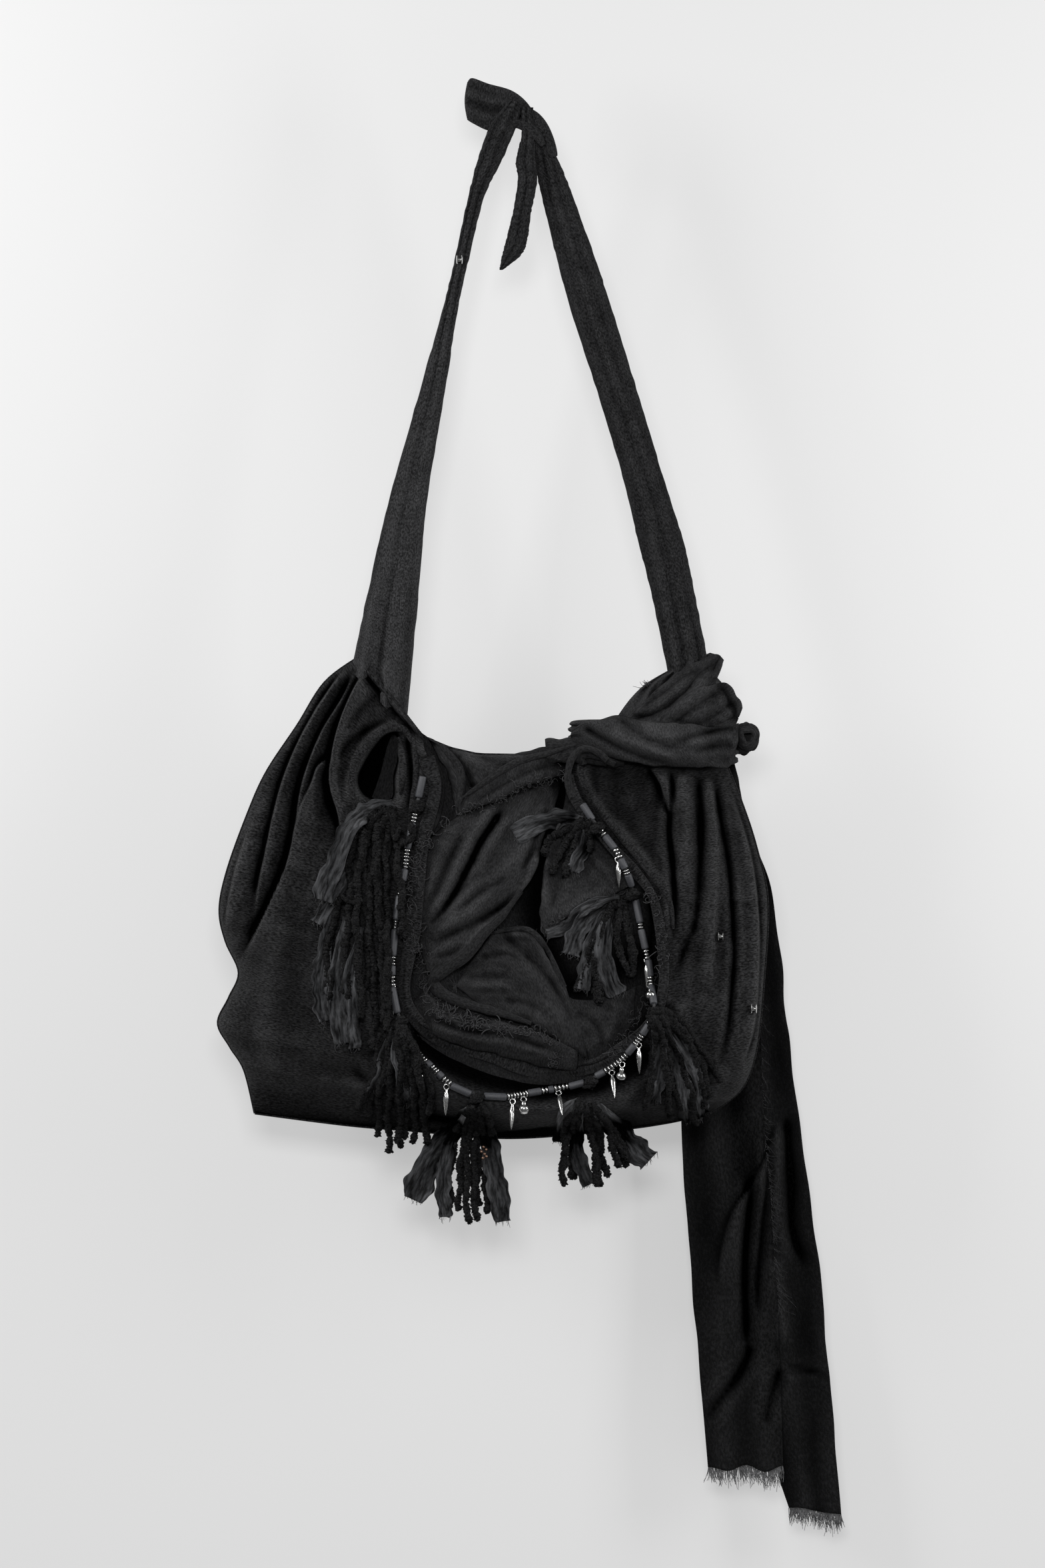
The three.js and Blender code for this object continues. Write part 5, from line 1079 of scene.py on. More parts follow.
loop_area = area_of(
    lambda u: spline(loop_above, u), lambda u: spline(loop_below, u), loop_side(0, -2.5), loop_side(-1, 1)
)
strap_loop = pad_between(
    "strap_loop_cloth",
    loop_area,
    3.6,
    lambda u, v: 12 + 0 * u,
    lambda u, v, side: 1.5 * np.cos(2 * np.pi * 2.6 * v + 1.2 * u) - 2.6 * np.exp(-(((v - 0.5 - 0.1 * u) / 0.1) ** 2)) * ease(u / 0.2)
    + 0.8 * crumple(u * 66, v * 46, 6, 101),
    strap_cloth,
)
end_rows = [(0.0, 0.3, 0.55), (0.17, 0.32, 0.62), (0.33, 0.22, 0.95), (0.45, 0.3, 0.93), (0.66, 0.02, 0.87)]
end_rows += [(0.82, -0.22, 1.0), (0.91, -0.46, 0.88), (1.0, -0.95, 0.16)]
end_edges = [[((middle + side * wide / 2) * 19, 26 - down * 146) for down, middle, wide in end_rows] for side in (-1, 1)]
strap_end = folded_band(
    "strap_end_cloth", end_edges[0], end_edges[1], lambda v: -8.4 + 1.5 * np.sin(3 * np.pi * v), lambda v: 3.4 + 0 * v,
    2.2, 103, strap_cloth, rows=150, around=44, depth=0.45,
)
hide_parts("strap_loop")
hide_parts("strap_end")
turns = Pile()
for line, y, wide in (
    ([(0, 23), (9, 19), (17, 10), (24, -3), (30, -18)], -4, 6.5),
    ([(-8, 12), (2, 10), (12, 4), (20, -8)], -7, 5),
):
    run = spline(line, np.linspace(0, 1, 50))
    taper = np.clip(np.sin(np.pi * np.linspace(0.06, 0.94, 50)), 0, 1) ** 0.5
    turns.tube(np.stack([run[:, 0], y + 0 * run[:, 0], run[:, 1]], -1), wide * taper, sides=18, flat=0.6)
strap_turns = turns.make("strap_knot_turns", strap_cloth, "strap_cloth")
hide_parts("strap_loop")
print("loop and loose end ready")

# %% [markdown]
# ## The scarf knotted on the right shoulder
# One end of the scarf wraps the gathered shoulder as a flat twisted band. Cloth fans up from it to the
# strap, its twisted end stands out as a small bud, and two long tails hang behind the bag.

# %% The wrapped band
knot_middle, knot_wide, knot_deep, knot_thick = 119, 152, 58, 11


def wrap_middle(across):
    return -545 - 10.2 * across


def wrap_tall(across):
    return 34 * (1 - 0.42 * across * across)


section = np.array(
    [(0.0, 0.46), (0.55, 0.5), (0.95, 0.4), (0.98, 0.3), (0.72, 0.22), (0.8, 0.16), (1.08, 0.08), (1.06, -0.02)]
    + [(0.74, -0.1), (0.84, -0.16), (1.1, -0.24), (1.05, -0.34), (0.8, -0.44), (0.35, -0.5), (0.0, -0.42), (-0.1, 0.0)]
)
turns, around = 150, 52
phi = 2 * np.pi * np.arange(turns) / turns
closed_section = spline(np.concatenate([section, section[:1]]), np.linspace(0, 1, around, endpoint=False))
across = np.cos(phi)[:, None]
forward = -np.sin(phi)[:, None]
sway = 0.05 * np.sin(2 * phi + 0.6)[:, None] + 0.03 * np.sin(5 * phi)[:, None]
out_share, up_share = closed_section[None, :, 0], closed_section[None, :, 1]
fine = crumple(phi[:, None] * 60 + 30 * out_share, up_share * 60, 7, 111) * 0.09
out = (out_share - 1 + fine + 0.1 * np.sin(4 * phi[:, None] + 9 * up_share)) * knot_thick
up = (up_share + sway * (1 - 4 * up_share**2)) * wrap_tall(across)
wrap_points = np.stack(
    [knot_middle + across * (knot_wide / 2 + out), forward * (knot_deep / 2 + out), wrap_middle(across) + up], -1
)
wrap_faces = [
    [i * around + s, ((i + 1) % turns) * around + s, ((i + 1) % turns) * around + (s + 1) % around, i * around + (s + 1) % around]
    for i in range(turns)
    for s in range(around)
]
wrap_uvs = np.stack(np.broadcast_arrays(up_share * 60 + out_share * 20, phi[:, None] * 52), -1)
# Painted shade: the parts of the band's section that lie inwards, towards the pouch and in its tucks, are painted dark,
# the outer parts light.
wrap_fold = 5 * (out / knot_thick + 0.35)
knot_wrap = finish_mesh(
    "knot_wrap_cloth", wrap_points.reshape(-1, 3), wrap_faces, wrap_uvs.reshape(-1, 2), gauze_cloth, wrap_fold
)
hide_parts("knot_wrap")
print("wrapped band", len(wrap_faces), "faces")

# %% The fan, its leaves and the bud
fan_left = outline([(0.453, 0.2), (0.272, 0.365), (0.155, 0.53), (0.058, 0.73), (0.02, 0.83)], 82, -464, 116, 74)
fan_right = outline(
    [(0.76, 0.0), (0.853, 0.07), (0.81, 0.26), (0.853, 0.35), (0.93, 0.486), (0.997, 0.62), (0.966, 0.78), (0.92, 1.0)],
    82, -464, 116, 74,
)


def on_wrap(u):
    x = mix(fan_left[-1][0], fan_right[-1][0], u)
    share = (x - knot_middle) / (knot_wide / 2 - knot_thick)
    return np.stack([x, wrap_middle(share) + wrap_tall(share) * 0.46], -1)


def fan_side(line, end):
    target = on_wrap(np.array(float(end)))
    return lambda v: mix(spline(line, v), target, v[..., None] ** 4)


fan_area = area_of(
    lambda u: mix(fan_left[0], fan_right[0], u[..., None]), on_wrap, fan_side(fan_left, 0), fan_side(fan_right, 1)
)
knot_fan = pad_between(
    "knot_fan_cloth",
    fan_area,
    0.0,
    lambda u, v: 38 * mix(0.36, 1, ease(v * 1.2)),
    lambda u, v, side: (2.6 * np.cos(2 * np.pi * (5.5 * u + 0.5 * v) + side) + 1.4 * np.cos(2 * np.pi * (9 * u - v)))
    * np.sin(np.pi * mix(0.12, 0.9, v))
    + 1.2 * crumple(u * 110, v * 70, 9, 121),
    gauze_cloth,
    rows=50,
    columns=80,
)
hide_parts("knot_fan")
bpy.ops.mesh.primitive_uv_sphere_add(segments=64, ring_count=40, radius=13.5 * MM)
bud = bpy.context.active_object
bud.name = bud.data.name = "knot_bud_cloth"
for vertex in bud.data.vertices:
    x, y, z = (c / MM for c in vertex.co)
    turn = math.atan2(z, y) + x / 11
    rim = 1 + 0.15 * math.cos(3 * turn) + 0.06 * math.cos(7 * turn + x / 3)
    vertex.co = Vector((x * 0.95 + 201.5, y * rim * 0.7, z * rim * 1.0 - 541.6)) * MM
bud.data.uv_layers[0].name = "cloth"
bud.data.materials.append(gauze_cloth)
bud.data.shade_smooth()
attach(bud, "root")
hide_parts("knot_bud")
print("fan and bud ready")

# %% Cloth draped over the fan and the band
drape_rows = [
    dict(
        name="drape_first",
        top=[(97, -526), (115, -529), (134, -531), (153, -529)],
        bottom=[(149, -476), (160, -472), (173, -467), (182, -471)],
        left=[(97, -526), (108, -512), (123, -497), (138, -486), (149, -476)],
        right=[(153, -529), (160, -517), (170, -501), (177, -484), (182, -471)],
        lift=4,
        bulge=3,
        behind=-16,
        calm=6,
        folds=[
            ("valley", 4, 3.5, [(97, -526), (115, -521), (130, -514), (145, -502), (162, -482), (177, -472)]),
            ("valley", 3, 3, [(108, -515), (127, -502), (145, -488), (164, -477)]),
            ("ridge", 2.5, 4, [(119, -525), (138, -514), (157, -497), (171, -478)]),
        ],
    ),
    dict(
        name="drape_second",
        top=[(123, -530), (145, -535), (168, -537), (190, -533)],
        bottom=[(171, -494), (183, -493), (195, -506), (198, -514)],
        left=[(123, -530), (138, -512), (157, -498), (171, -494)],
        right=[(198, -514), (195, -523), (190, -533)][::-1],
        lift=5,
        bulge=3,
        behind=-18,
        calm=6,
        folds=[
            ("valley", 3, 3, [(134, -529), (153, -515), (171, -503), (183, -496)]),
            ("valley", 2.6, 3, [(145, -534), (168, -524), (186, -512), (196, -511)]),
            ("valley", 2.6, 2.6, [(157, -536), (175, -529), (195, -520)]),
        ],
    ),
    dict(
        name="drape_band",
        top=[(47, -533), (56, -527), (71, -524), (87, -520), (104, -525), (127, -528), (153, -528), (175, -531), (195, -528)],
        bottom=[(47, -544), (59, -549), (82, -559), (112, -565), (138, -567), (164, -567), (186, -567), (193, -555)],
        left=[(47, -533), (45, -538), (47, -544)],
        right=[(195, -528), (195, -544), (193, -555)],
        lift=7,
        bulge=5,
        behind=-24,
        calm=8,
        folds=[
            ("valley", 4.5, 3, [(55, -530), (71, -540), (91, -551), (115, -560), (140, -565)]),
            ("valley", 3.5, 4, [(87, -523), (100, -534), (119, -545), (145, -552)]),
            ("valley", 2.6, 3, [(195, -532), (171, -535), (153, -540), (134, -547)]),
            ("valley", 2.6, 3, [(191, -548), (171, -549), (153, -555)]),
            ("ridge", 2, 5, [(78, -535), (108, -548), (142, -558)]),
            ("ridge", 2, 4, [(190, -540), (168, -542), (145, -548)]),
        ],
    ),
]
knot_trees = [BVHTree.FromPolygons([v.co for v in p.data.vertices], [f.vertices for f in p.data.polygons]) for p in (knot_wrap, knot_fan)]
drapes = []
for n, row in enumerate(drape_rows):
    drapes.append(make_flap(row, knot_trees, "knot_wrap" if row["name"] == "drape_band" else "knot_fan", 81 + n))
    knot_trees.append(tree_of(drapes[-1]))
curl = Pile()
for n, (turn, wide) in enumerate(((0.0, 3.4), (2.2, 3.0), (4.1, 2.7))):
    t = np.linspace(0, 1, 60)
    angle = 2 * np.pi * t * 1.15 + turn
    radius = 9.5 - 1.8 * n + 0.8 * np.sin(3 * angle)
    ring = np.stack([203 + radius * np.cos(angle) * 0.95, -7 - 2.6 * n + 2 * np.sin(angle + n), -539.5 + radius * np.sin(angle)], -1)
    curl.tube(ring, wide * (1 + 0.2 * np.sin(7 * t + n)) * np.clip(np.sin(np.pi * (0.08 + 0.84 * t)), 0, 1) ** 0.5, sides=12)
bud_curl = curl.make("knot_bud_curl", gauze_cloth, "scarf_gauze")
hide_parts("knot_bud")
roll = Pile()
for line, y, wide in (
    ([(22, -551), (35, -550), (47, -550), (60, -552), (75, -557), (93, -560)], -16, 8.5),
    ([(24, -558), (37, -557), (49, -557), (61, -558), (77, -561)], -24, 6.5),
    ([(46, -594), (42, -578), (44, -563), (51, -553), (60, -551), (70, -555), (77, -561)], -38, 3.1),
    ([(56, -565), (54, -558), (63, -557), (74, -560), (84, -565)], -32, 2.8),
):
    run = spline(line, np.linspace(0, 1, 70))
    rough = 1 + 0.12 * crumple(run[:, 0], run[:, 1], 6, 95) + 0.1 * np.sin(np.arange(70) * 0.35)
    roll.tube(np.stack([run[:, 0], y + 0 * run[:, 0], run[:, 1]], -1), wide * rough, sides=16)
shoulder_roll = roll.make("shoulder_roll", gauze_cloth, "scarf_gauze")
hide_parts("inner_scarf")
print("drapes:", [piece.name for piece in drapes])

# %% The two tails
tail_right = 291
short_rows = [(0.453, 0.55, 0.63), (0.51, 0.51, 0.68), (0.6, 0.49, 0.73), (0.74, 0.5, 0.76), (0.81, 0.52, 0.78)]
short_rows += [(0.9, 0.545, 0.805), (1.0, 0.58, 0.818)]
long_rows = [(0.445, 0.59, 0.65), (0.5, 0.6, 0.71), (0.54, 0.6, 0.775), (0.6, 0.62, 0.813), (0.66, 0.64, 0.838)]
long_rows += [(0.725, 0.66, 0.874), (0.83, 0.68, 0.934), (0.91, 0.72, 0.963), (1.0, 0.835, 1.0)]
tail_folds = [
    ("valley", 6, 5, [(211, -936), (207, -974), (204, -1012), (204, -1058), (206, -1104)]),
    ("valley", 5, 4, [(226, -905), (222, -955), (218, -997), (215, -1043), (216, -1081)]),
    ("pleat", 4, 6, [(235, -890), (214, -939), (193, -970), (182, -1008), (179, -1043)]),
    ("valley", 4, 5, [(211, -1089), (200, -1114), (183, -1137), (166, -1162)]),
    ("valley", 4, 5, [(235, -1112), (226, -1142), (222, -1169)]),
    ("ridge", 4, 7, [(229, -1012), (234, -1058), (237, -1096)]),
    ("valley", 5, 5, [(242, -882), (245, -936), (247, -989), (260, -1027)]),
    ("valley", 2, 3, [(240, -1112), (263, -1116), (283, -1123)]),
]


def tail_grid(rows, long, behind, seed, ends, rows_count=156, columns=60):
    u, v = np.meshgrid(np.linspace(0, 1, columns), np.linspace(0, 1, rows_count))
    left, right = (spline([(row[k] * tail_right, -row[0] * long) for row in rows], v) for k in (1, 2))
    place = mix(left, right, u[..., None])
    x, z = place[..., 0], place[..., 1]
    share = np.clip(np.abs((x - knot_middle) / (knot_wide / 2)), 0, 1)
    out = mix(knot_deep / 2 * np.sqrt(1 - share**2), bag_deep / 2 + behind, ease(v / 0.3)) - 16 * ease((v - 0.6) / 0.4)
    drift = 0.35 * crumple(z, z * 0, 160, seed)
    folds = 2.6 * np.sin(2 * np.pi * (1.7 * u + drift) + 2 * v) - 1.2 * folded(x, z, tail_folds)
    folds += 1.5 * crumple(x * 1.2, z * 0.5, 26, seed + 1) + 0.5 * crumple(x, z * 0.5, 7, seed + 2, True)
    y = out + folds * ease(v / 0.2)
    z = z + ease((v - 0.9) / 0.1) * (ends[0] * crumple(x, 0 * x, 17, seed + 3) + ends[1] * (u - 0.5))
    x = x + 1.2 * crumple(z, 0 * z + 3, 34, seed + 4) * (2 * u - 1)
    return np.stack([x, y, z], -1)


short_grid = tail_grid(short_rows, 1203, 4, 131, (3, 0))
long_grid = tail_grid(long_rows, 1242, 14, 141, (3, -6))
tail_short = cloth_sheet("tail_short_cloth", short_grid, tail_cloth, thick=0.7, smooth=0)
tail_long = cloth_sheet("tail_long_cloth", long_grid, tail_cloth, thick=0.7, smooth=0)
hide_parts("tail_short")
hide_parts("tail_long")
fringe = Pile()
for n, grid in enumerate((short_grid, long_grid)):
    fray(grid[-1], (0.1, 0, -1), 320, 12, 151 + n, pile=fringe, radius=0.42, splay=0.4)
fray(short_grid[60:125, -1], (0.8, -0.4, -0.7), 150, 8, 161, radius=0.3)
tail_fringe = fringe.make("tail_fringe", fringe_cloth, "scarf_gauze")
print("tail cut", declare_sheet(tail_short, short_grid))
print("tail cut", declare_sheet(tail_long, long_grid))

# %% [markdown]
# ## Beads, rings and charms
# A bead of each kind is modelled once and copied along the string. The string lies in front of the cloth
# and follows it. Between two tassel knots the pieces share the length that is there.


# %% One bead of each kind
def turned_piece(name, profile, material, sides=16):
    (radius, height), rest = profile[0], profile[1:]
    bpy.ops.mesh.primitive_circle_add(vertices=sides, radius=radius * MM, fill_type="NGON", location=(0, 0, height * MM))
    piece = bpy.context.active_object
    piece.name = name
    bpy.ops.object.transform_apply(location=True)
    bpy.ops.object.mode_set(mode="EDIT")
    bpy.ops.mesh.select_all(action="SELECT")
    last_radius, last_height = radius, height
    for radius, height in rest:
        move = (0, 0, (height - last_height) * MM)
        bpy.ops.mesh.extrude_region_move(TRANSFORM_OT_translate={"value": move})
        share = radius / last_radius
        bpy.ops.transform.resize(value=(share, share, 1))
        last_radius, last_height = radius, height
    bpy.ops.mesh.select_all(action="SELECT")
    bpy.ops.mesh.normals_make_consistent(inside=False)
    bpy.ops.object.mode_set(mode="OBJECT")
    piece.data.materials.append(material)
    piece.data.shade_smooth()
    piece.data.set_sharp_from_angle(angle=math.radians(42))
    return piece


tube_model = turned_piece("tube_model", [(2.6, -7), (3.1, -6.6), (3.3, -5.8), (3.3, 5.8), (3.1, 6.6), (2.6, 7)], slate, 20)
ring_model = turned_piece("ring_model", [(2.2, -1.1), (3.1, -0.8), (3.4, -0.2), (3.4, 0.2), (3.1, 0.8), (2.2, 1.1)], silver)
spike_model = turned_piece(
    "spike_model",
    [(0.12, -24), (1.0, -20.5), (1.9, -16), (2.6, -10.5), (2.7, -8), (2.3, -5), (1.3, -3.1), (1.5, -2.2), (0.9, -1)],
    silver,
)
bell_model = turned_piece(
    "bell_model",
    [(1.4, -13), (3.4, -12.3), (4.5, -10.4), (4.6, -9), (3.7, -6.8), (2.0, -5.2), (2.4, -3.6), (2.2, -2.4), (1.0, -1)],
    silver,
)
bpy.ops.mesh.primitive_torus_add(
    major_radius=2.4 * MM, minor_radius=0.6 * MM, major_segments=18, minor_segments=7, rotation=(math.pi / 2, 0, 0)
)
jump_model = bpy.context.active_object
jump_model.name = "jump_model"
bpy.ops.object.transform_apply(rotation=True)
jump_model.data.materials.append(silver)
jump_model.data.shade_smooth()
clamp_model = turned_piece(
    "clamp_model",
    [(2.2, -3), (3.4, -2.8), (4.4, -2.2), (4.2, -1.6), (2.0, -1.0), (1.7, 1.0), (4.2, 1.6), (4.4, 2.2), (3.4, 2.8), (2.2, 3)],
    silver,
)
models = [tube_model, ring_model, spike_model, bell_model, jump_model, clamp_model]
print("modelled:", [model.name for model in models])


# %% Copies and joined pieces
def copy_to(source, matrix, name):
    piece = bpy.data.objects.new(name, source.data.copy())
    bpy.context.scene.collection.objects.link(piece)
    piece.data.transform(matrix)
    return piece


def joined(pieces, name, node):
    bpy.ops.object.select_all(action="DESELECT")
    for piece in pieces:
        piece.select_set(True)
    bpy.context.view_layer.objects.active = pieces[0]
    bpy.ops.object.join()
    whole = bpy.context.active_object
    whole.name = whole.data.name = name
    bpy.ops.object.select_all(action="DESELECT")
    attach(whole, "root")
    if node:
        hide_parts(node)
    return whole


def tree_over(*pieces):
    points, faces = [], []
    for piece in pieces:
        first = len(points)
        points.extend(v.co.copy() for v in piece.data.vertices)
        faces.extend([first + k for k in p.vertices] for p in piece.data.polygons)
    return BVHTree.FromPolygons(points, faces)


cloth_tree = tree_over(pouch_front, hem, scarf_sheet, knot_wrap, *flaps.values(), *drapes)
string_rows = [(0.374, 0.251), (0.359, 0.332), (0.348, 0.389), (0.341, 0.446), (0.328, 0.527), (0.321, 0.608)]
string_rows += [(0.319, 0.665), (0.326, 0.721), (0.341, 0.77), (0.366, 0.819), (0.395, 0.851), (0.423, 0.88)]
string_rows += [(0.459, 0.9), (0.516, 0.908), (0.573, 0.9), (0.652, 0.884), (0.687, 0.867), (0.73, 0.835)]
string_rows += [(0.761, 0.794), (0.784, 0.754), (0.791, 0.729), (0.787, 0.689), (0.781, 0.632), (0.77, 0.575)]
string_rows += [(0.759, 0.51), (0.744, 0.454), (0.723, 0.405), (0.701, 0.372), (0.68, 0.34), (0.662, 0.308)]
string_line = path_on([cloth_tree], spline(outline(string_rows), np.linspace(0, 1, 400)), 4.4, reach=3.7, run=25)
string_long = np.concatenate([[0], np.cumsum(np.linalg.norm(np.diff(string_line, axis=0), axis=1))])


def string_at(share):
    at = np.clip(share, 0, 1) * string_long[-1]
    return np.stack([np.interp(at, string_long, string_line[:, k]) for k in range(3)], -1)


# The pieces in order: t a tube bead, r a group of rings, k a knot at its share; s or b is the charm on a group.
threaded = [("t", 18), ("k", "tassel_upper_left", 0.035), ("r", 12), ("t", 24), ("r", 18), ("t", 11), ("r", 13)]
threaded += [("t", 22), ("r", 8), ("t", 24), ("r", 8), ("t", 9), ("r", 10, "s"), ("t", 24)]
threaded += [("k", "tassel_lower_left", 0.307), ("t", 9), ("r", 4), ("t", 8), ("r", 10, "s"), ("r", 8, "b"), ("t", 6)]
threaded += [("r", 8), ("t", 6), ("r", 9, "s"), ("t", 20), ("k", "tassel_bottom_left", 0.447), ("t", 20)]
threaded += [("r", 11, "s"), ("r", 8, "b"), ("t", 12), ("r", 6), ("t", 5), ("r", 7, "s"), ("r", 6), ("t", 14)]
threaded += [("k", "tassel_bottom_right", 0.59), ("t", 7), ("r", 10, "s"), ("r", 9, "b"), ("t", 8), ("r", 8, "s")]
threaded += [("t", 8), ("r", 6), ("k", "tassel_lower_right", 0.712), ("t", 16), ("r", 7, "b"), ("t", 12)]
threaded += [("r", 7, "s"), ("t", 14), ("r", 4), ("t", 18), ("k", "tassel_inner_right", 0.87), ("t", 10), ("r", 4)]
threaded += [("t", 8), ("r", 8, "s"), ("t", 12), ("r", 5), ("k", "tassel_inner_top", 0.968), ("t", 8)]
knot_share = 11 / string_long[-1]
placed, waiting, start = [], [], 0.0
for row in threaded + [("end", "", 1 + knot_share / 2)]:
    if row[0] in "tr":
        waiting.append(row)
        continue
    end = row[2] - knot_share / 2
    total = sum(item[1] for item in waiting)
    for item in waiting:
        share = item[1] / total * (end - start)
        placed.append((item[0], start, start + share, item[2] if len(item) > 2 else ""))
        start, total = start + share, total - item[1]
    waiting = []
    placed.append((row[0], row[2] - knot_share / 2, row[2] + knot_share / 2, row[1]))
    start = row[2] + knot_share / 2
placed.pop()
print(len(placed), "places on a string", round(string_long[-1]), "mm long")

# %% Thread the beads
from mathutils import Matrix


def turned_to(direction):
    return Vector((0, 0, 1)).rotation_difference(Vector(direction)).to_matrix().to_4x4()


ring_pitch = 3.1
tubes, bright, knots = [], [], {}
for kind, begin, end, extra in placed:
    middle = (begin + end) / 2
    centre, way = string_at(middle), string_at(end) - string_at(begin)
    long = float(np.linalg.norm(way))
    if kind == "t":
        stretch = Matrix.Diagonal((1, 1, max(long - 0.5, 3) / 14, 1))
        tubes.append(copy_to(tube_model, Matrix.Translation(Vector(centre) * MM) @ turned_to(way) @ stretch, "bead"))
    elif kind == "k":
        knots[extra] = centre
    else:
        count = max(2, round(long / ring_pitch))
        for i in range(count):
            spot = string_at(mix(begin, end, (i + 0.5) / count))
            tilt = Matrix.Rotation(chance.normal(0, 0.05), 4, "Y")
            size = Matrix.Diagonal((1, 1, long / count / 3.6, 1)) @ Matrix.Scale(1 - 0.1 * (i % 2), 4)
            bright.append(copy_to(ring_model, Matrix.Translation(Vector(spot) * MM) @ turned_to(way) @ tilt @ size, "ring"))
        if extra:
            low = 14.5 if extra == "b" else 25.5
            drops = np.array([0.35, 0.6, 0.8, 1.0]) * (low + 3.4)
            lies = front_at([cloth_tree], centre[0] + 0 * drops, centre[2] - drops, missing=99, reach=3)
            lean = float(np.clip(np.max((centre[1] - lies + 4.5) / drops), 0.02, 1.1))
            swing = Matrix.Rotation(-math.atan(lean), 4, "X") @ Matrix.Rotation(chance.normal(0, 0.07), 4, "Y")
            hang = Matrix.Translation(Vector(centre) * MM) @ swing
            bright.append(copy_to(jump_model, hang @ Matrix.Translation((0, 0, -5.2 * MM)), "jump"))
            charm = spike_model if extra == "s" else bell_model
            bright.append(copy_to(charm, hang @ Matrix.Translation((0, 0, -6.4 * MM)), "charm"))
bead_tubes = joined(tubes, "bead_tubes", "bead_string")
bead_silver = joined(bright, "bead_silver", "bead_string")
core = Pile()
core.tube(string_at(np.linspace(0, 1, 260)), 1.5, sides=7)
bead_thread = core.make("bead_thread", thread_cloth, "beads")
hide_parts("bead_string")
clamps = []
for name, x, z, tree in (
    ("clamp_side", 178.4, -718.7, pouch_tree),
    ("clamp_edge", 208.1, -783.6, pouch_tree),
    ("clamp_strap", -55.4, -110.9, tree_over(strap_left)),
):
    y = float(front_at([tree], x, z, missing=-8))
    turn = Matrix.Rotation(math.pi / 2, 4, "Y")
    clamp = copy_to(clamp_model, Matrix.Translation(Vector((x, y - 3.2, z)) * MM) @ turn, name + "_silver")
    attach(clamp, "root")
    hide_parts(name)
    clamps.append(clamp)
for model in models:
    bpy.data.objects.remove(model)
print("beads", len(tubes), "silver pieces", len(bright))

# %% [markdown]
# ## The tassels
# Every strand of a tassel was traced on the photograph. A yarn is a thick fuzzy chenille cord: its tube
# has rough points, and short hairs stand out of it. A ribbon is a torn strip with a crumpled surface and
# a ragged edge. Each strand lies in front of what hangs behind it.

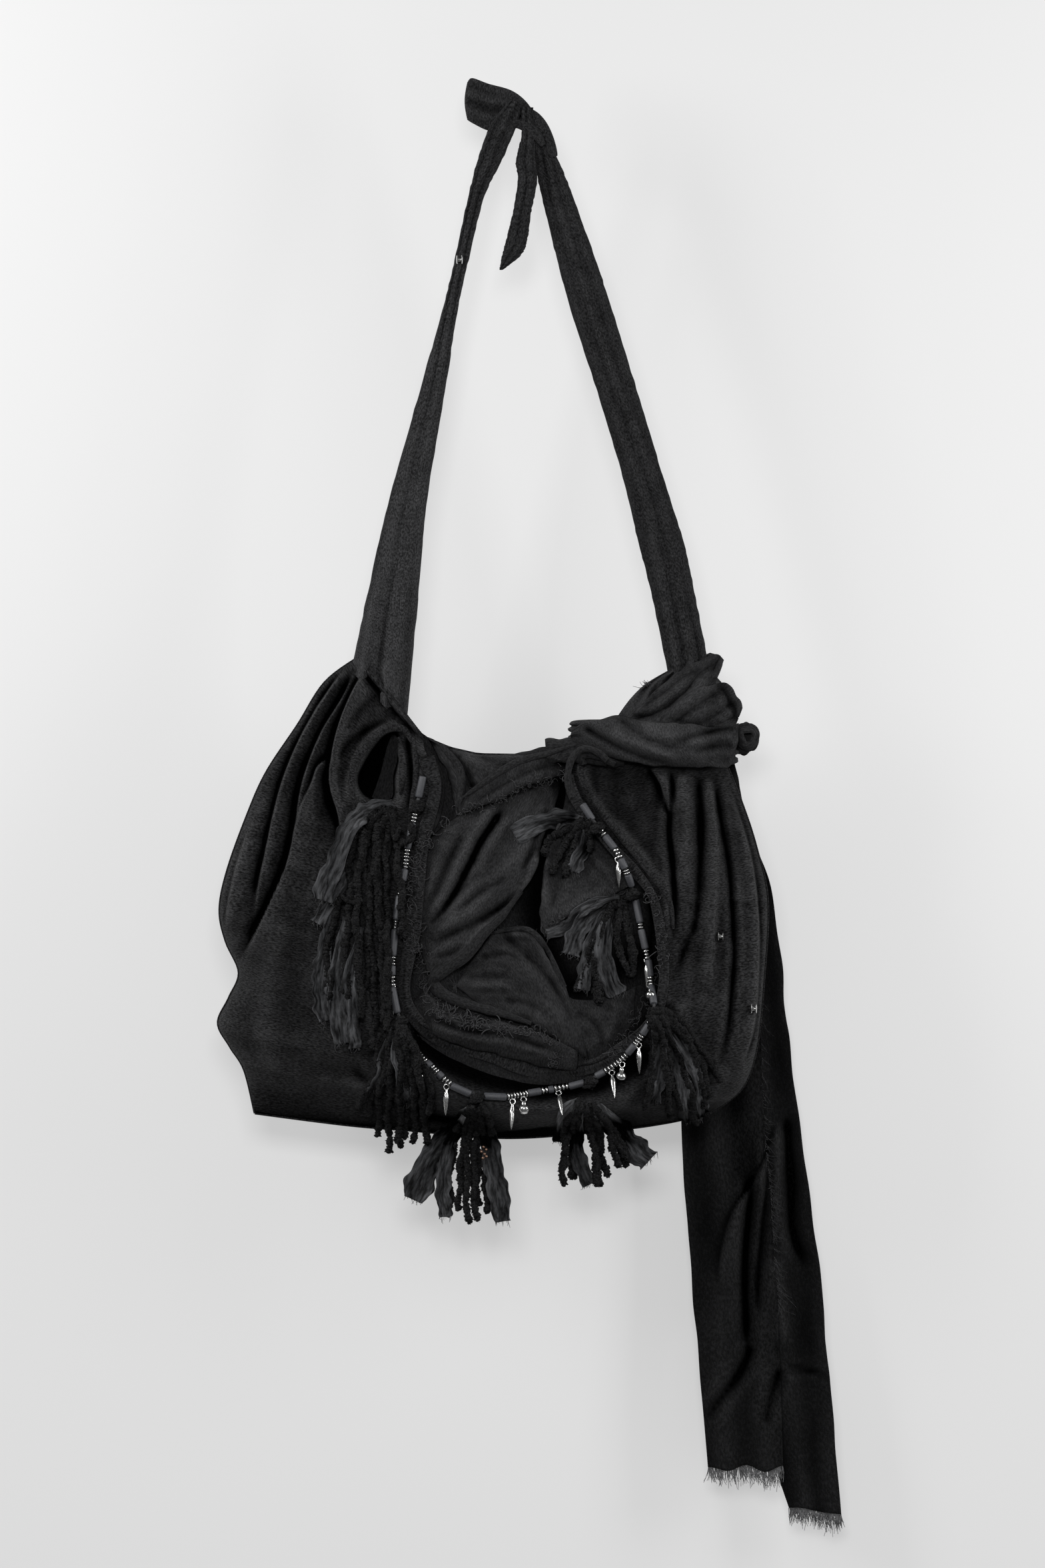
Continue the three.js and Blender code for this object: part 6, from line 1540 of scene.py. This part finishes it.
# %% The strands of each tassel
tassel_rows = {
    "tassel_bottom_left": [
        ("ribbon", 25, [(-44, -871), (-64, -896), (-83, -923), (-97, -956)]),
        ("yarn", 6, [(-45, -869), (-58, -896), (-64, -932), (-66, -971)]),
        ("ribbon", 14, [(-51, -878), (-66, -911), (-70, -944), (-68, -971)]),
        ("yarn", 6, [(-43, -869), (-51, -899), (-55, -938), (-56, -965)]),
        ("yarn", 6, [(-40, -869), (-41, -902), (-42, -941), (-40, -974)]),
        ("yarn", 6, [(-39, -869), (-34, -902), (-32, -938), (-31, -968)]),
        ("yarn", 6, [(-42, -869), (-47, -902), (-49, -941), (-47, -977)]),
        ("ribbon", 18, [(-38, -872), (-28, -908), (-22, -941), (-17, -975)]),
        ("yarn", 6, [(-37, -868), (-28, -884), (-24, -908), (-26, -923)]),
    ],
    "tassel_bottom_right": [
        ("yarn", 6, [(54, -863), (41, -884), (38, -914), (38, -943)]),
        ("yarn", 6, [(56, -863), (47, -887), (46, -914), (44, -938)]),
        ("yarn", 6, [(59, -863), (70, -896), (74, -923), (77, -935)]),
        ("yarn", 6, [(57, -863), (62, -896), (67, -923), (68, -943)]),
        ("yarn", 6, [(60, -863), (78, -890), (83, -911), (86, -926)]),
        ("yarn", 6, [(61, -865), (86, -899), (96, -926)]),
        ("ribbon", 24, [(63, -865), (85, -889), (101, -908), (115, -921)]),
        ("ribbon", 12, [(53, -863), (41, -872), (35, -890), (34, -904)]),
        ("ribbon", 14, [(56, -865), (49, -899), (53, -923), (62, -942)]),
    ],
    "tassel_lower_left": [
        ("yarn", 6, [(-112, -794), (-124, -812), (-132, -845), (-146, -872)]),
        ("yarn", 6, [(-108, -794), (-91, -824), (-80, -854), (-79, -874)]),
        ("yarn", 6, [(-112, -794), (-119, -824), (-127, -863), (-128, -899)]),
        ("yarn", 6, [(-108, -794), (-94, -824), (-87, -863), (-85, -906)]),
        ("yarn", 6, [(-111, -794), (-115, -830), (-119, -872), (-119, -914)]),
        ("yarn", 6, [(-109, -794), (-100, -830), (-95, -869), (-97, -905)]),
        ("yarn", 6, [(-110, -794), (-107, -833), (-109, -872), (-108, -909)]),
        ("ribbon", 11, [(-113, -796), (-121, -824), (-125, -842), (-133, -856)]),
        ("ribbon", 12, [(-110, -796), (-111, -824), (-105, -848), (-100, -869)]),
    ],
    "tassel_lower_right": [
        ("yarn", 6, [(121, -782), (146, -805), (160, -833), (170, -862)]),
        ("yarn", 6, [(116, -784), (119, -812), (116, -842), (112, -873)]),
        ("yarn", 6, [(120, -782), (148, -812), (161, -848), (164, -872)]),
        ("yarn", 6, [(117, -784), (127, -818), (131, -854), (134, -882)]),
        ("yarn", 6, [(119, -783), (137, -812), (149, -848), (158, -889)]),
        ("ribbon", 15, [(117, -788), (124, -821), (121, -848), (118, -865)]),
        ("ribbon", 16, [(119, -787), (140, -830), (145, -860), (149, -885)]),
        ("ribbon", 12, [(121, -785), (149, -824), (160, -854), (164, -880)]),
    ],
    "tassel_inner_right": [
        ("yarn", 6, [(91, -685), (95, -710), (100, -734), (101, -754)]),
        ("yarn", 6, [(86, -688), (69, -713), (59, -740), (50, -768)]),
        ("yarn", 6, [(89, -686), (86, -710), (89, -734), (97, -755)]),
        ("yarn", 6, [(81, -689), (67, -725), (68, -761), (71, -778)]),
        ("ribbon", 11, [(88, -683), (71, -687), (53, -696), (41, -710), (23, -716)]),
        ("ribbon", 18, [(80, -687), (60, -701), (49, -719), (44, -735)]),
        ("ribbon", 14, [(79, -689), (65, -719), (58, -746), (54, -766)]),
        ("ribbon", 18, [(80, -690), (74, -722), (76, -746), (85, -771)]),
    ],
    "tassel_inner_top": [
        ("yarn", 6, [(56, -614), (41, -623), (26, -632), (19, -646)]),
        ("yarn", 6, [(56, -616), (42, -632), (33, -647), (29, -663)]),
        ("yarn", 6, [(58, -616), (48, -635), (42, -650), (41, -665)]),
        ("yarn", 6, [(59, -614), (62, -629), (60, -644)]),
        ("ribbon", 18, [(55, -614), (38, -613), (17, -617), (-6, -628)]),
        ("ribbon", 16, [(58, -617), (56, -638), (50, -650), (46, -660)]),
    ],
    "tassel_upper_left": [
        ("ribbon", 15, [(-151, -623), (-157, -662), (-169, -683), (-182, -707)]),
        ("yarn", 6, [(-160, -683), (-169, -710), (-173, -740), (-170, -776)]),
        ("ribbon", 15, [(-169, -695), (-176, -734), (-180, -764), (-175, -794)]),
        ("yarn", 6, [(-124, -602), (-144, -620), (-153, -650), (-152, -686), (-156, -725), (-154, -776)]),
        ("yarn", 6, [(-115, -605), (-112, -638), (-108, -671), (-106, -698), (-108, -716)]),
        ("yarn", 6, [(-121, -602), (-136, -623), (-140, -653), (-139, -689), (-136, -722), (-138, -764)]),
        ("ribbon", 16, [(-156, -701), (-163, -740), (-166, -776), (-160, -814)]),
        ("yarn", 6, [(-117, -604), (-121, -638), (-120, -674), (-119, -710), (-119, -752), (-121, -802)]),
        ("yarn", 6, [(-127, -614), (-133, -659), (-136, -698), (-132, -746), (-130, -788), (-133, -820)]),
        ("ribbon", 14, [(-142, -710), (-151, -752), (-151, -794), (-148, -818)]),
        ("yarn", 6, [(-119, -603), (-127, -629), (-130, -662), (-127, -698), (-124, -740), (-123, -794)]),
        ("yarn", 6, [(-139, -623), (-145, -662), (-147, -704), (-144, -746), (-142, -791)]),
        ("yarn", 6, [(-118, -603), (-114, -620), (-106, -634), (-98, -629), (-97, -617)]),
        ("ribbon", 18, [(-115, -599), (-136, -605), (-153, -620), (-168, -656), (-178, -686)]),
        ("yarn", 4, [(-161, -682), (-151, -688), (-140, -686)]),
    ],
}
print(sum(len(rows) for rows in tassel_rows.values()), "strands in", len(tassel_rows), "tassels")


# %% Yarns and ribbons
def strand_path(points, wide, head, layer, trees):
    long = np.linalg.norm(np.diff(np.array(points), axis=0), axis=1).sum()
    count = max(8, int(long / 0.85))
    place = spline(points, np.linspace(0, 1, count))
    few = max(6, count // 8)
    spots = np.linspace(0, count - 1, few)
    x, z = (np.interp(spots, np.arange(count), place[:, k]) for k in (0, 1))
    lies = front_at(trees, x, z, reach=wide / 2)
    known = np.flatnonzero(~np.isnan(lies))
    lies = np.interp(np.arange(few), known, lies[known]) if len(known) else np.full(few, head[1])
    y = np.interp(np.arange(count), spots, lies) - wide / 2 - 0.5
    y = np.minimum(smooth_run(y, 15), y + 2) - layer
    near_head = ease(np.arange(count) * 0.85 / 14) if np.hypot(place[0, 0] - head[0], place[0, 1] - head[2]) < 24 else 1
    y = mix(head[1] - 1.5, y, near_head)
    return np.stack([place[:, 0], y, place[:, 1]], -1)


def add_yarn(pile, path, wide, rng):
    share = np.linspace(0, 1, len(path))
    step = np.arange(len(path))
    radius = wide / 2 * (1 + 0.14 * np.sin(step * 0.55 + rng.uniform(0, 6)) + rng.normal(0, 0.07, len(path)))
    sway = np.stack([np.sin(step / rng.uniform(6, 9) + rng.uniform(0, 6)), 0.5 * np.sin(step / 5), 0 * step], -1)
    radius *= ease((1 - share) * len(path) / 3 + 0.35)
    path = path + rng.normal(0, 0.08, path.shape) + 1.2 * sway * ease(share * len(path) / 14)[:, None]
    pile.tube(path, radius, sides=9)
    rough = rng.normal(0, 0.2 * wide / 2, pile.points[-1].shape)
    pile.points[-1] = pile.points[-1] + rough
    for _ in range(int(len(path) * 0.3)):
        i = rng.integers(0, len(path))
        way = rng.normal(0, 1, 3) * [1, 0.7, 1]
        way /= np.linalg.norm(way)
        start = path[i] + way * radius[i] * 0.8
        t = np.linspace(0, 1, 3)[:, None]
        pile.tube(start + way * t * rng.uniform(0.6, 1.9) + [0, 0, -0.5] * t**2, [0.16, 0.13, 0.07], sides=3)


def ribbon_grid(path, wide, seed):
    rows, columns = max(10, len(path) // 2), 13
    index = np.linspace(0, len(path) - 1, rows)
    path = np.stack([np.interp(index, np.arange(len(path)), path[:, k]) for k in range(3)], -1)
    _, side, back = frames_along(path)
    share = np.linspace(0, 1, rows)[:, None]
    across = np.linspace(-1, 1, columns)[None, :]
    long = index[:, None] * 0.85
    narrow = mix(0.35, 1, ease(share * 2.6)) * (1 + 0.3 * crumple(long + 0 * across, across * 9, 7, seed))
    crease = 1.5 * crumple(across * wide * 1.4, long * 0.4, 4.5, seed + 1)
    crease = crease + 1.3 * crumple(across * wide, long, 4.2, seed + 2, True)
    cup = 1.3 * np.cos(np.pi * across * 0.8 + 3 * crumple(long, 0 * long, 30, seed + 3))
    turn = 0.7 * crumple(long, 0 * long, 34, seed + 4)
    x, y = across * wide / 2 * narrow * np.cos(turn), (crease + cup) * ease(share * 4) + across * wide / 2 * narrow * np.sin(turn) * 0.5
    return path[:, None] + side[:, None] * x[..., None] + back[:, None] * y[..., None]


tassel_trees = [cloth_tree, tree_over(bead_tubes, bead_silver)]
for n, (name, strands) in enumerate(tassel_rows.items()):
    rng = np.random.default_rng(300 + n)
    head = knots[name]
    yarns, ribbons = Pile(), []
    turns = np.linspace(0, 1, 44)
    way = string_at(0.001) - string_at(0)
    for coil in range(3):
        loop = 2 * np.pi * 2.2 * turns + coil * 2.1
        spread = (turns - 0.5) * 7 + coil - 1
        ring = head + np.stack([3.6 * np.cos(loop) + 0.5 * spread, 4.4 * np.sin(loop) - 1.2, -3 + spread], -1)
        add_yarn(yarns, ring, 4.2, rng)
    for k, (kind, wide, points) in enumerate(strands):
        path = strand_path(points, wide if kind == "yarn" else 3, head, 0.6 * k, tassel_trees)
        if kind == "yarn":
            add_yarn(yarns, path, wide, rng)
            if len(path) > 60:
                share = np.linspace(0, 1, len(path))[:, None]
                aside = rng.normal(0, 5, 2)
                twin = path[: int(len(path) * rng.uniform(0.8, 0.98))] + [0, 2.5, 0]
                twin[:, [0, 2]] += (aside * share + 1.2 * np.sin(7 * share + aside[0]))[: len(twin)]
                add_yarn(yarns, twin, wide * 0.9, rng)
        else:
            ribbons.append(ribbon_grid(path, wide, 400 + 10 * n + k))
    yarn_piece = yarns.make(name + "_yarns", yarn_cloth, "tassel_cloth")
    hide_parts(name)
    parts = []
    for k, grid in enumerate(ribbons):
        part = cloth_sheet(name + "_ribbon", grid, ribbon_cloth, thick=0.45, smooth=0)
        parts.append(part)
        fray(grid[-1], (0, -0.2, -1), 10, 3, 500 + 10 * n + k)
    ribbon_piece = joined(parts, name + "_ribbons", name)
    tassel_trees.append(tree_over(yarn_piece, ribbon_piece))
# A few brass seed beads hang in the tassel under the left of the string.
seeds = Pile()
for across, down in ((0, 0), (2.4, 2.2), (-1.8, 4.0), (0.8, 6.2), (2.6, 8.4), (-0.6, 9.8)):
    x, z = -33.7 + across, -908 - down
    y = float(front_at(tassel_trees, x, z, missing=-45)) - 1.0
    seeds.tube([(x, y, z + k) for k in (1.3, 0.9, 0, -0.9, -1.3)], [0.5, 1.2, 1.5, 1.2, 0.5], sides=8)
seed_beads = seeds.make("seed_beads", brass, "beads")
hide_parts("tassel_bottom_left")
print("tassels ready")

# %% [markdown]
# ## Loose threads
# The raw edges of the inner scarf end in tangles of short threads, and thick curls of raveled yarn lie
# on the lip above the hem and down the left of the opening.

# %% Tangles and stitches
scene_tree = tree_over(pouch_front, hem, scarf_sheet, *flaps.values())


def tangle(points, spread, count, long, seed, radius=0.42):
    rng = np.random.default_rng(seed)
    spots = spline(points, rng.uniform(0, 1, count)) + rng.normal(0, spread, (count, 2))
    y = front_at([scene_tree], spots[:, 0], spots[:, 1])
    for (x, z), lies in zip(spots, y):
        if np.isnan(lies):
            continue
        turn, bend = rng.uniform(0, 2 * np.pi), rng.normal(0, 2.2)
        t = np.linspace(0, 1, 7)
        angle = turn + bend * t * 2
        step = long * rng.uniform(0.4, 1.2) / 6
        path = np.stack([x + np.cumsum(np.cos(angle)) * step, lies - 0.6 - 1.6 * np.sin(np.pi * t) * rng.uniform(0.4, 1.3), z + np.cumsum(np.sin(angle)) * step], -1)
        frays.tube(path, radius * rng.uniform(0.7, 1.2), sides=3)


tangle([(-68, -621), (-88, -635), (-96, -663), (-100, -697), (-95, -727), (-87, -755), (-75, -785)], 4.0, 240, 10, 601)
tangle([(-57, -609), (-38, -603), (-19, -597), (-2, -587), (18, -581), (41, -573)], 2.4, 150, 8, 602)
tangle([(-75, -785), (-53, -793), (-19, -801), (18, -803)], 2.6, 170, 9, 603, 0.5)
tangle([(18, -802), (28, -816), (30, -835)], 2.0, 30, 9, 604)
tangle([(24, -717), (41, -702), (61, -690), (82, -681), (97, -674)], 2.2, 70, 7, 605)
tangle([(114, -678), (122, -704), (124, -734), (115, -772), (100, -798), (82, -822)], 3.0, 110, 9, 606)
tangle([(138, -858), (149, -865)], 2.0, 10, 12, 607)
for n, points in enumerate(([(108, -497), (112, -492), (118, -493)], [(128, -486), (134, -483), (137, -481)])):
    rng = np.random.default_rng(620 + n)
    edge = spline(points, np.linspace(0, 1, 30))
    edge = np.stack([edge[:, 0], 0 * edge[:, 0] - 14, edge[:, 1]], -1)
    fray(edge, (-0.4, -0.3, 0.3), 26, 3.6, 630 + n)
stitches = Pile()
line = spline(neckline, np.linspace(0.05, 0.9, 250))
way = np.gradient(line, axis=0)
way /= np.linalg.norm(way, axis=1, keepdims=True)
spots = line + np.stack([way[:, 1], -way[:, 0]], -1) * 6.2
lies = front_at([tree_of(pouch_front)], spots[:, 0], spots[:, 1])
for spot, step, y in zip(spots[::2], way[::2], lies[::2]):
    if not np.isnan(y):
        ends = [spot - step * 1.1, spot, spot + step * 1.1]
        stitches.tube([(p[0], y - 0.15 - 0.25 * (i == 1), p[1]) for i, p in enumerate(ends)], 0.34, sides=4)
hem_stitches = stitches.make("hem_stitches", hem_cloth, "pouch_cloth")
loose_threads = frays.make("loose_threads", thread_cloth, "scarf_gauze")
print("loose threads:", len(loose_threads.data.polygons), "faces")

# %% [markdown]
# ## The room
# A pale wall stands just behind the bag. The main light is large and only a little higher than the
# camera, so the shadow on the wall is soft and falls slightly below the bag.


# %% Wall and lights
def stage_plane(name, size, location, rotation, shade, glow):
    bpy.ops.mesh.primitive_plane_add(size=size, location=location, rotation=rotation)
    plane = bpy.context.active_object
    plane.name = name
    material = bpy.data.materials.new(name)
    material.use_nodes = True
    tree = material.node_tree
    shader = tree.nodes["Principled BSDF"]
    shader.inputs["Base Color"].default_value = (shade, shade, shade, 1)
    shader.inputs["Roughness"].default_value = 0.95
    shader.inputs["Specular IOR Level"].default_value = 0.0
    shader.inputs["Emission Color"].default_value = (1, 1, 1, 1)
    shader.inputs["Emission Strength"].default_value = glow
    side = add_node(tree, "ShaderNodeNewGeometry")
    clear = add_node(tree, "ShaderNodeBsdfTransparent")
    blend = add_node(tree, "ShaderNodeMixShader")
    tree.links.new(side.outputs["Backfacing"], blend.inputs[0])
    tree.links.new(shader.outputs[0], blend.inputs[1])
    tree.links.new(clear.outputs[0], blend.inputs[2])
    tree.links.new(blend.outputs[0], tree.nodes["Material Output"].inputs["Surface"])
    plane.data.materials.append(material)
    return plane


def area_light(name, location, target, width, height, watts, tint=(1, 1, 1)):
    data = bpy.data.lights.new(name, "AREA")
    data.shape = "RECTANGLE"
    data.size, data.size_y, data.energy, data.color = width, height, watts, tint
    light = bpy.data.objects.new(name, data)
    bpy.context.scene.collection.objects.link(light)
    light.location = location
    light.rotation_euler = (Vector(target) - Vector(location)).to_track_quat("-Z", "Y").to_euler()
    return light


stage_plane("back_wall", 9.0, (0, 0.087, -0.6), (math.pi / 2, 0, 0), 0.36, 0.44)
area_light("front_light", (-0.2, -4.4, 0.5), (0, 0, -0.72), 1.5, 0.9, 86)
area_light("upper_left", (-1.5, -0.75, 0.25), (-0.05, 0, -0.66), 0.5, 1.0, 24)
area_light("upper_right", (1.45, -0.6, -0.25), (0.05, 0, -0.75), 0.35, 1.1, 15)
world = bpy.data.worlds.new("soft_room") if bpy.context.scene.world is None else bpy.context.scene.world
bpy.context.scene.world = world
world.use_nodes = True
world.node_tree.nodes["Background"].inputs["Color"].default_value = (1.0, 1.0, 1.0, 1)
world.node_tree.nodes["Background"].inputs["Strength"].default_value = 0.12
bpy.context.scene.view_settings.view_transform = "Standard"
bpy.context.scene.view_settings.look = "None"
print("stage and lights ready")
